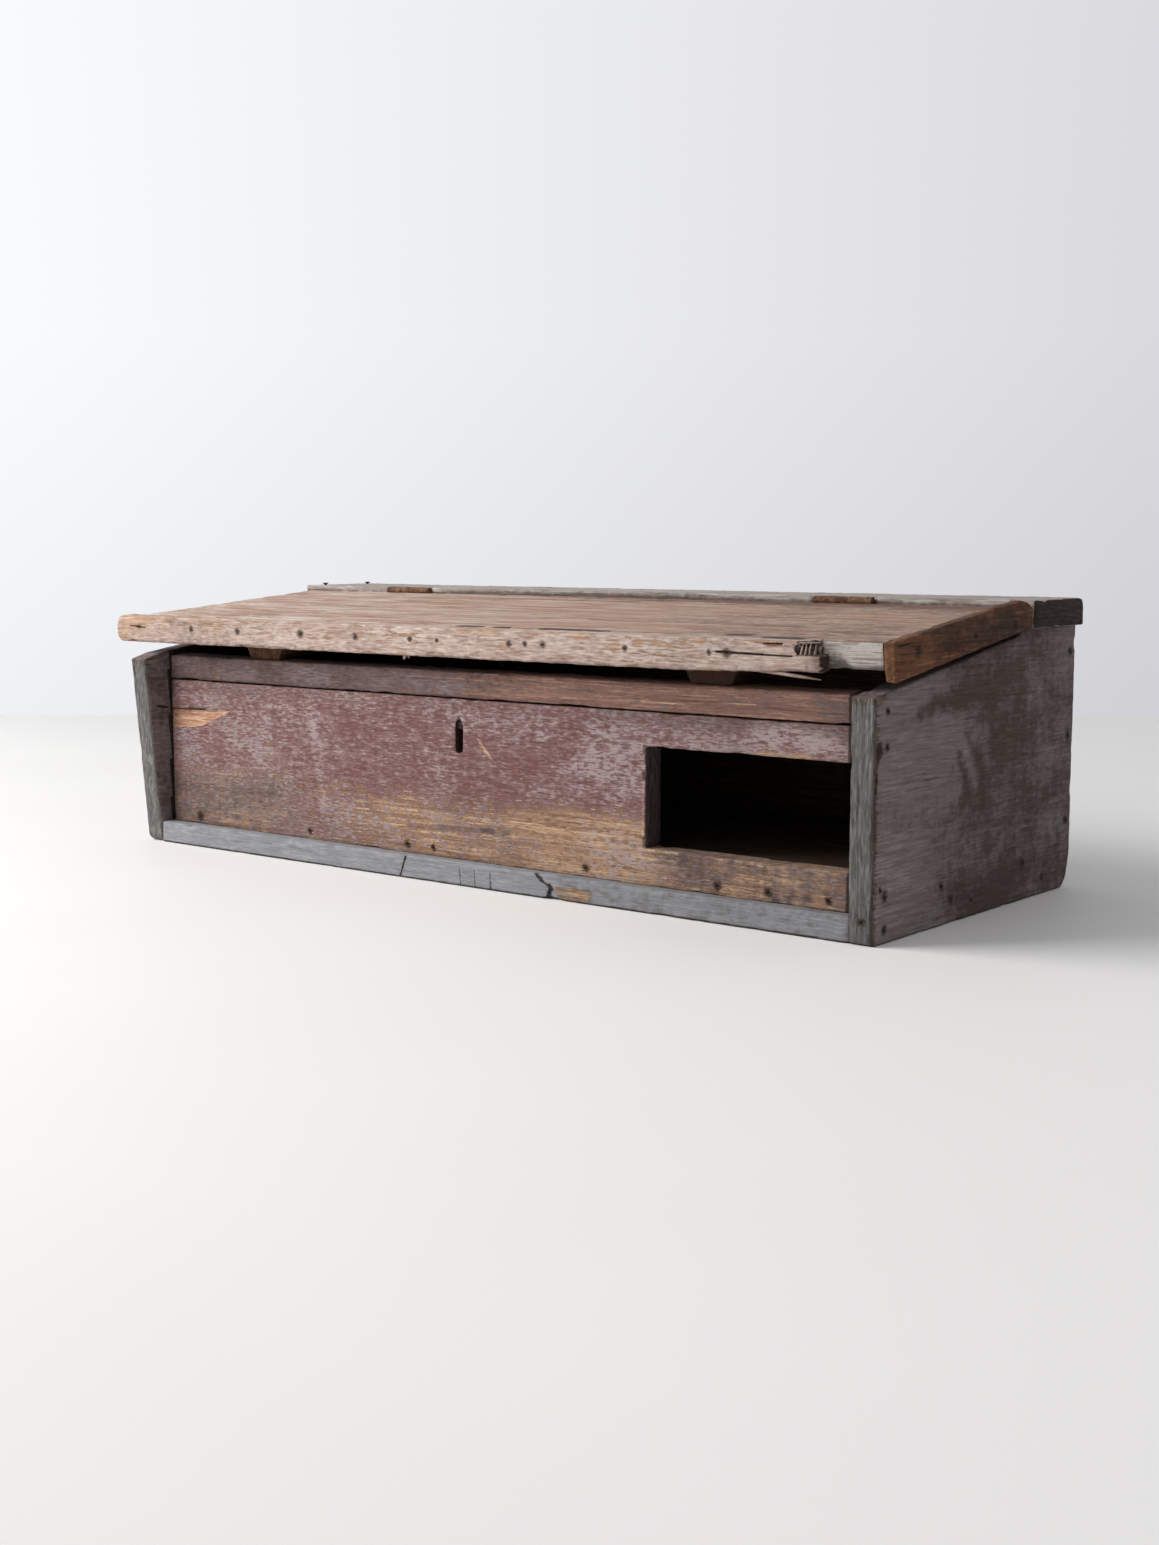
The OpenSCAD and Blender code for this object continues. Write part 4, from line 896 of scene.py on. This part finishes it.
# Lid cleats: two stout strips nailed up under the lid, from the rail almost to the hinges, with
# bevelled sides. They keep the lid flat, and their front ends rest on the rail.
cleat_high, cleat_bevel = 0.0189, 0.0085
cleat_front, cleat_rear = -0.2222, -0.030
for node, seed in (("lid_cleat_left", 13), ("lid_cleat_right", 14)):
    low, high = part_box(node)
    bm = face_grid(Vector((low.x, cleat_front, -lid_thick - cleat_high)),
                   Vector((high.x, cleat_rear, -lid_thick)), 2, 0.005)
    thicken(bm, 2, cleat_high)
    middle = (low.x + high.x) / 2
    for v in bm.verts:
        drop = (-lid_thick - v.co.z) / cleat_high
        v.co.x = middle + (v.co.x - middle) * (1 - drop * cleat_bevel / ((high.x - low.x) / 2))
    age(bm, 0.001, 0.00015, 0.001, seed)
    tint(bm, "grime", lambda p: 0.35 if p.x < 0 else 0.8)
    name = node.replace("lid_", "") + "_strip"
    finish_piece(bm, name, "lid", node, "brown_wood", brown_pine, placing=lid_place)

# Hinges, lock and screws: wrought iron. Two butt hinges in the seam behind the lid, a box lock behind
# the keyhole with its bolt, and its staple under the lid.
# Rusted iron: a matt orange-brown crust in 6 mm patches over dark metal, with 1.5 mm pits. The same
# metal is painted almost black in the lock, as painted shade inside the box, and dark brown in the nails.
irons = {"rusted_hinge_iron": ("#4d382c", "#8d6a52", "#74543f"),
         "blackened_lock_iron": ("#0e0b0a", "#191310", "#1f1712"),
         "dark_nail_iron": ("#150e0b", "#2c1a12", "#3c2418")}
for name, tones in irons.items():
    irons[name] = bpy.data.materials.new(name)
    tree = empty_tree(irons[name])
    place = add(tree, "TexCoord")["Object"]
    crust = add(tree, "TexNoise", {"Vector": place, "Scale": 1 / 0.006, "Detail": 5.0,
                                   "Roughness": 0.65})["Fac"]
    grit = add(tree, "TexNoise", {"Vector": place, "Scale": 1 / 0.0015, "Detail": 2.0})["Fac"]
    dark, orange, pale = [linear(tone) for tone in tones]
    share = add(tree, "MapRange", {"Value": crust, "From Min": 0.4, "From Max": 0.62})["Result"]
    brown = add(tree, "MixRGB", {"Fac": share, "Color1": dark, "Color2": orange})["Color"]
    share = add(tree, "MapRange", {"Value": grit, "From Min": 0.5, "From Max": 0.7, "To Max": 0.6})["Result"]
    brown = add(tree, "MixRGB", {"Fac": share, "Color1": brown, "Color2": pale})["Color"]
    pitted = add(tree, "Bump", {"Height": grit, "Strength": 0.5, "Distance": 0.0004})["Normal"]
    shader = add(tree, "BsdfPrincipled", {"Base Color": brown, "Roughness": 0.85, "Metallic": 0.1,
                                          "Specular IOR Level": 0.2, "Normal": pitted})["BSDF"]
    add(tree, "OutputMaterial", {"Surface": shader})
for name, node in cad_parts.items():
    if name.startswith(("hinge_", "lock_", "staple_")):
        metal = "rusted_hinge_iron" if name.startswith("hinge_") else "blackened_lock_iron"
        node.data.materials.clear()
        node.data.materials.append(irons[metal])

# Nails: hand-cut iron nails with flat, uneven heads and tapered square shanks, sunk a little below
# the wood and rusted dark. The two at the rear top board's left end have worked out of it.
def nail_group(name, body, node, places, inward, length, placing=Matrix()):
    bm = bmesh.new()
    chance = random.Random(name)
    inward = Vector(inward)
    turn = inward.to_track_quat("Z", "Y").to_matrix().to_4x4()
    for spot in places:
        twist = Matrix.Rotation(chance.uniform(0, 3.1), 4, "Z")
        proud = 0.0035 if inward.z < 0 and spot[0] < -0.4 else 0
        top = Vector(spot) - inward * proud
        head = Matrix.Translation(top + inward * 0.0014) @ turn @ twist
        shank = Matrix.Translation(top + inward * (length / 2 + 0.001)) @ turn @ twist
        wide = chance.uniform(0.0017, 0.0022) + proud * 0.3
        taper(bm, 9, wide * 0.8, wide, 0.0012, head)
        taper(bm, 4, 0.0015, 0.0006, length, shank)
    finish_piece(bm, name, body, node, "rusted_iron", irons["dark_nail_iron"], placing=placing)


board_nail, trim_nail, cleat_nail = 0.046, 0.036, 0.028
places = [(x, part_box("front_panel")[0].y, panel_nail_z) for x in panel_nails]
nail_group("panel_nail_row", "box", "front_panel_nails", places, (0, 1, 0), board_nail)
places = [(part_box("right_end_board")[1].x, y, z) for y, z in end_nails]
nail_group("right_nails", "box", "right_end_nails", places, (-1, 0, 0), board_nail)
places = [(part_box("left_end_board")[0].x, y, z) for y, z in end_nails]
nail_group("left_nails", "box", "left_end_nails", places, (1, 0, 0), board_nail)
places = [(x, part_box("back_board")[1].y, z) for x, z in back_nails]
nail_group("back_nail_row", "box", "back_nails", places, (0, -1, 0), board_nail)
places = [(x, y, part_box("rear_top_board")[1].z) for x, y in rear_top_nails]
nail_group("rear_top_nail_set", "box", "rear_top_nails", places, (0, 0, -1), board_nail)
places = [(x, strip_front, strip_nail_z) for x in strip_nails]
nail_group("nosing_nails", "lid", "strip_nails", places, (0, 1, 0), trim_nail, lid_place)
places = [(batten_x, y, z) for y, z in batten_nails]
nail_group("batten_nail_row", "lid", "batten_nails", places, (-1, 0, 0), trim_nail, lid_place)
cleat_out = 0.26308
rows = [cleat_rear + share * (cleat_front - cleat_rear) for share in (0.12, 0.5, 0.88)]
places = [(side * cleat_out + middle_x, y, -lid_thick - cleat_high) for side in (-1, 1) for y in rows]
nail_group("cleat_nail_set", "lid", "cleat_nails", places, (0, 0, 1), cleat_nail, lid_place)
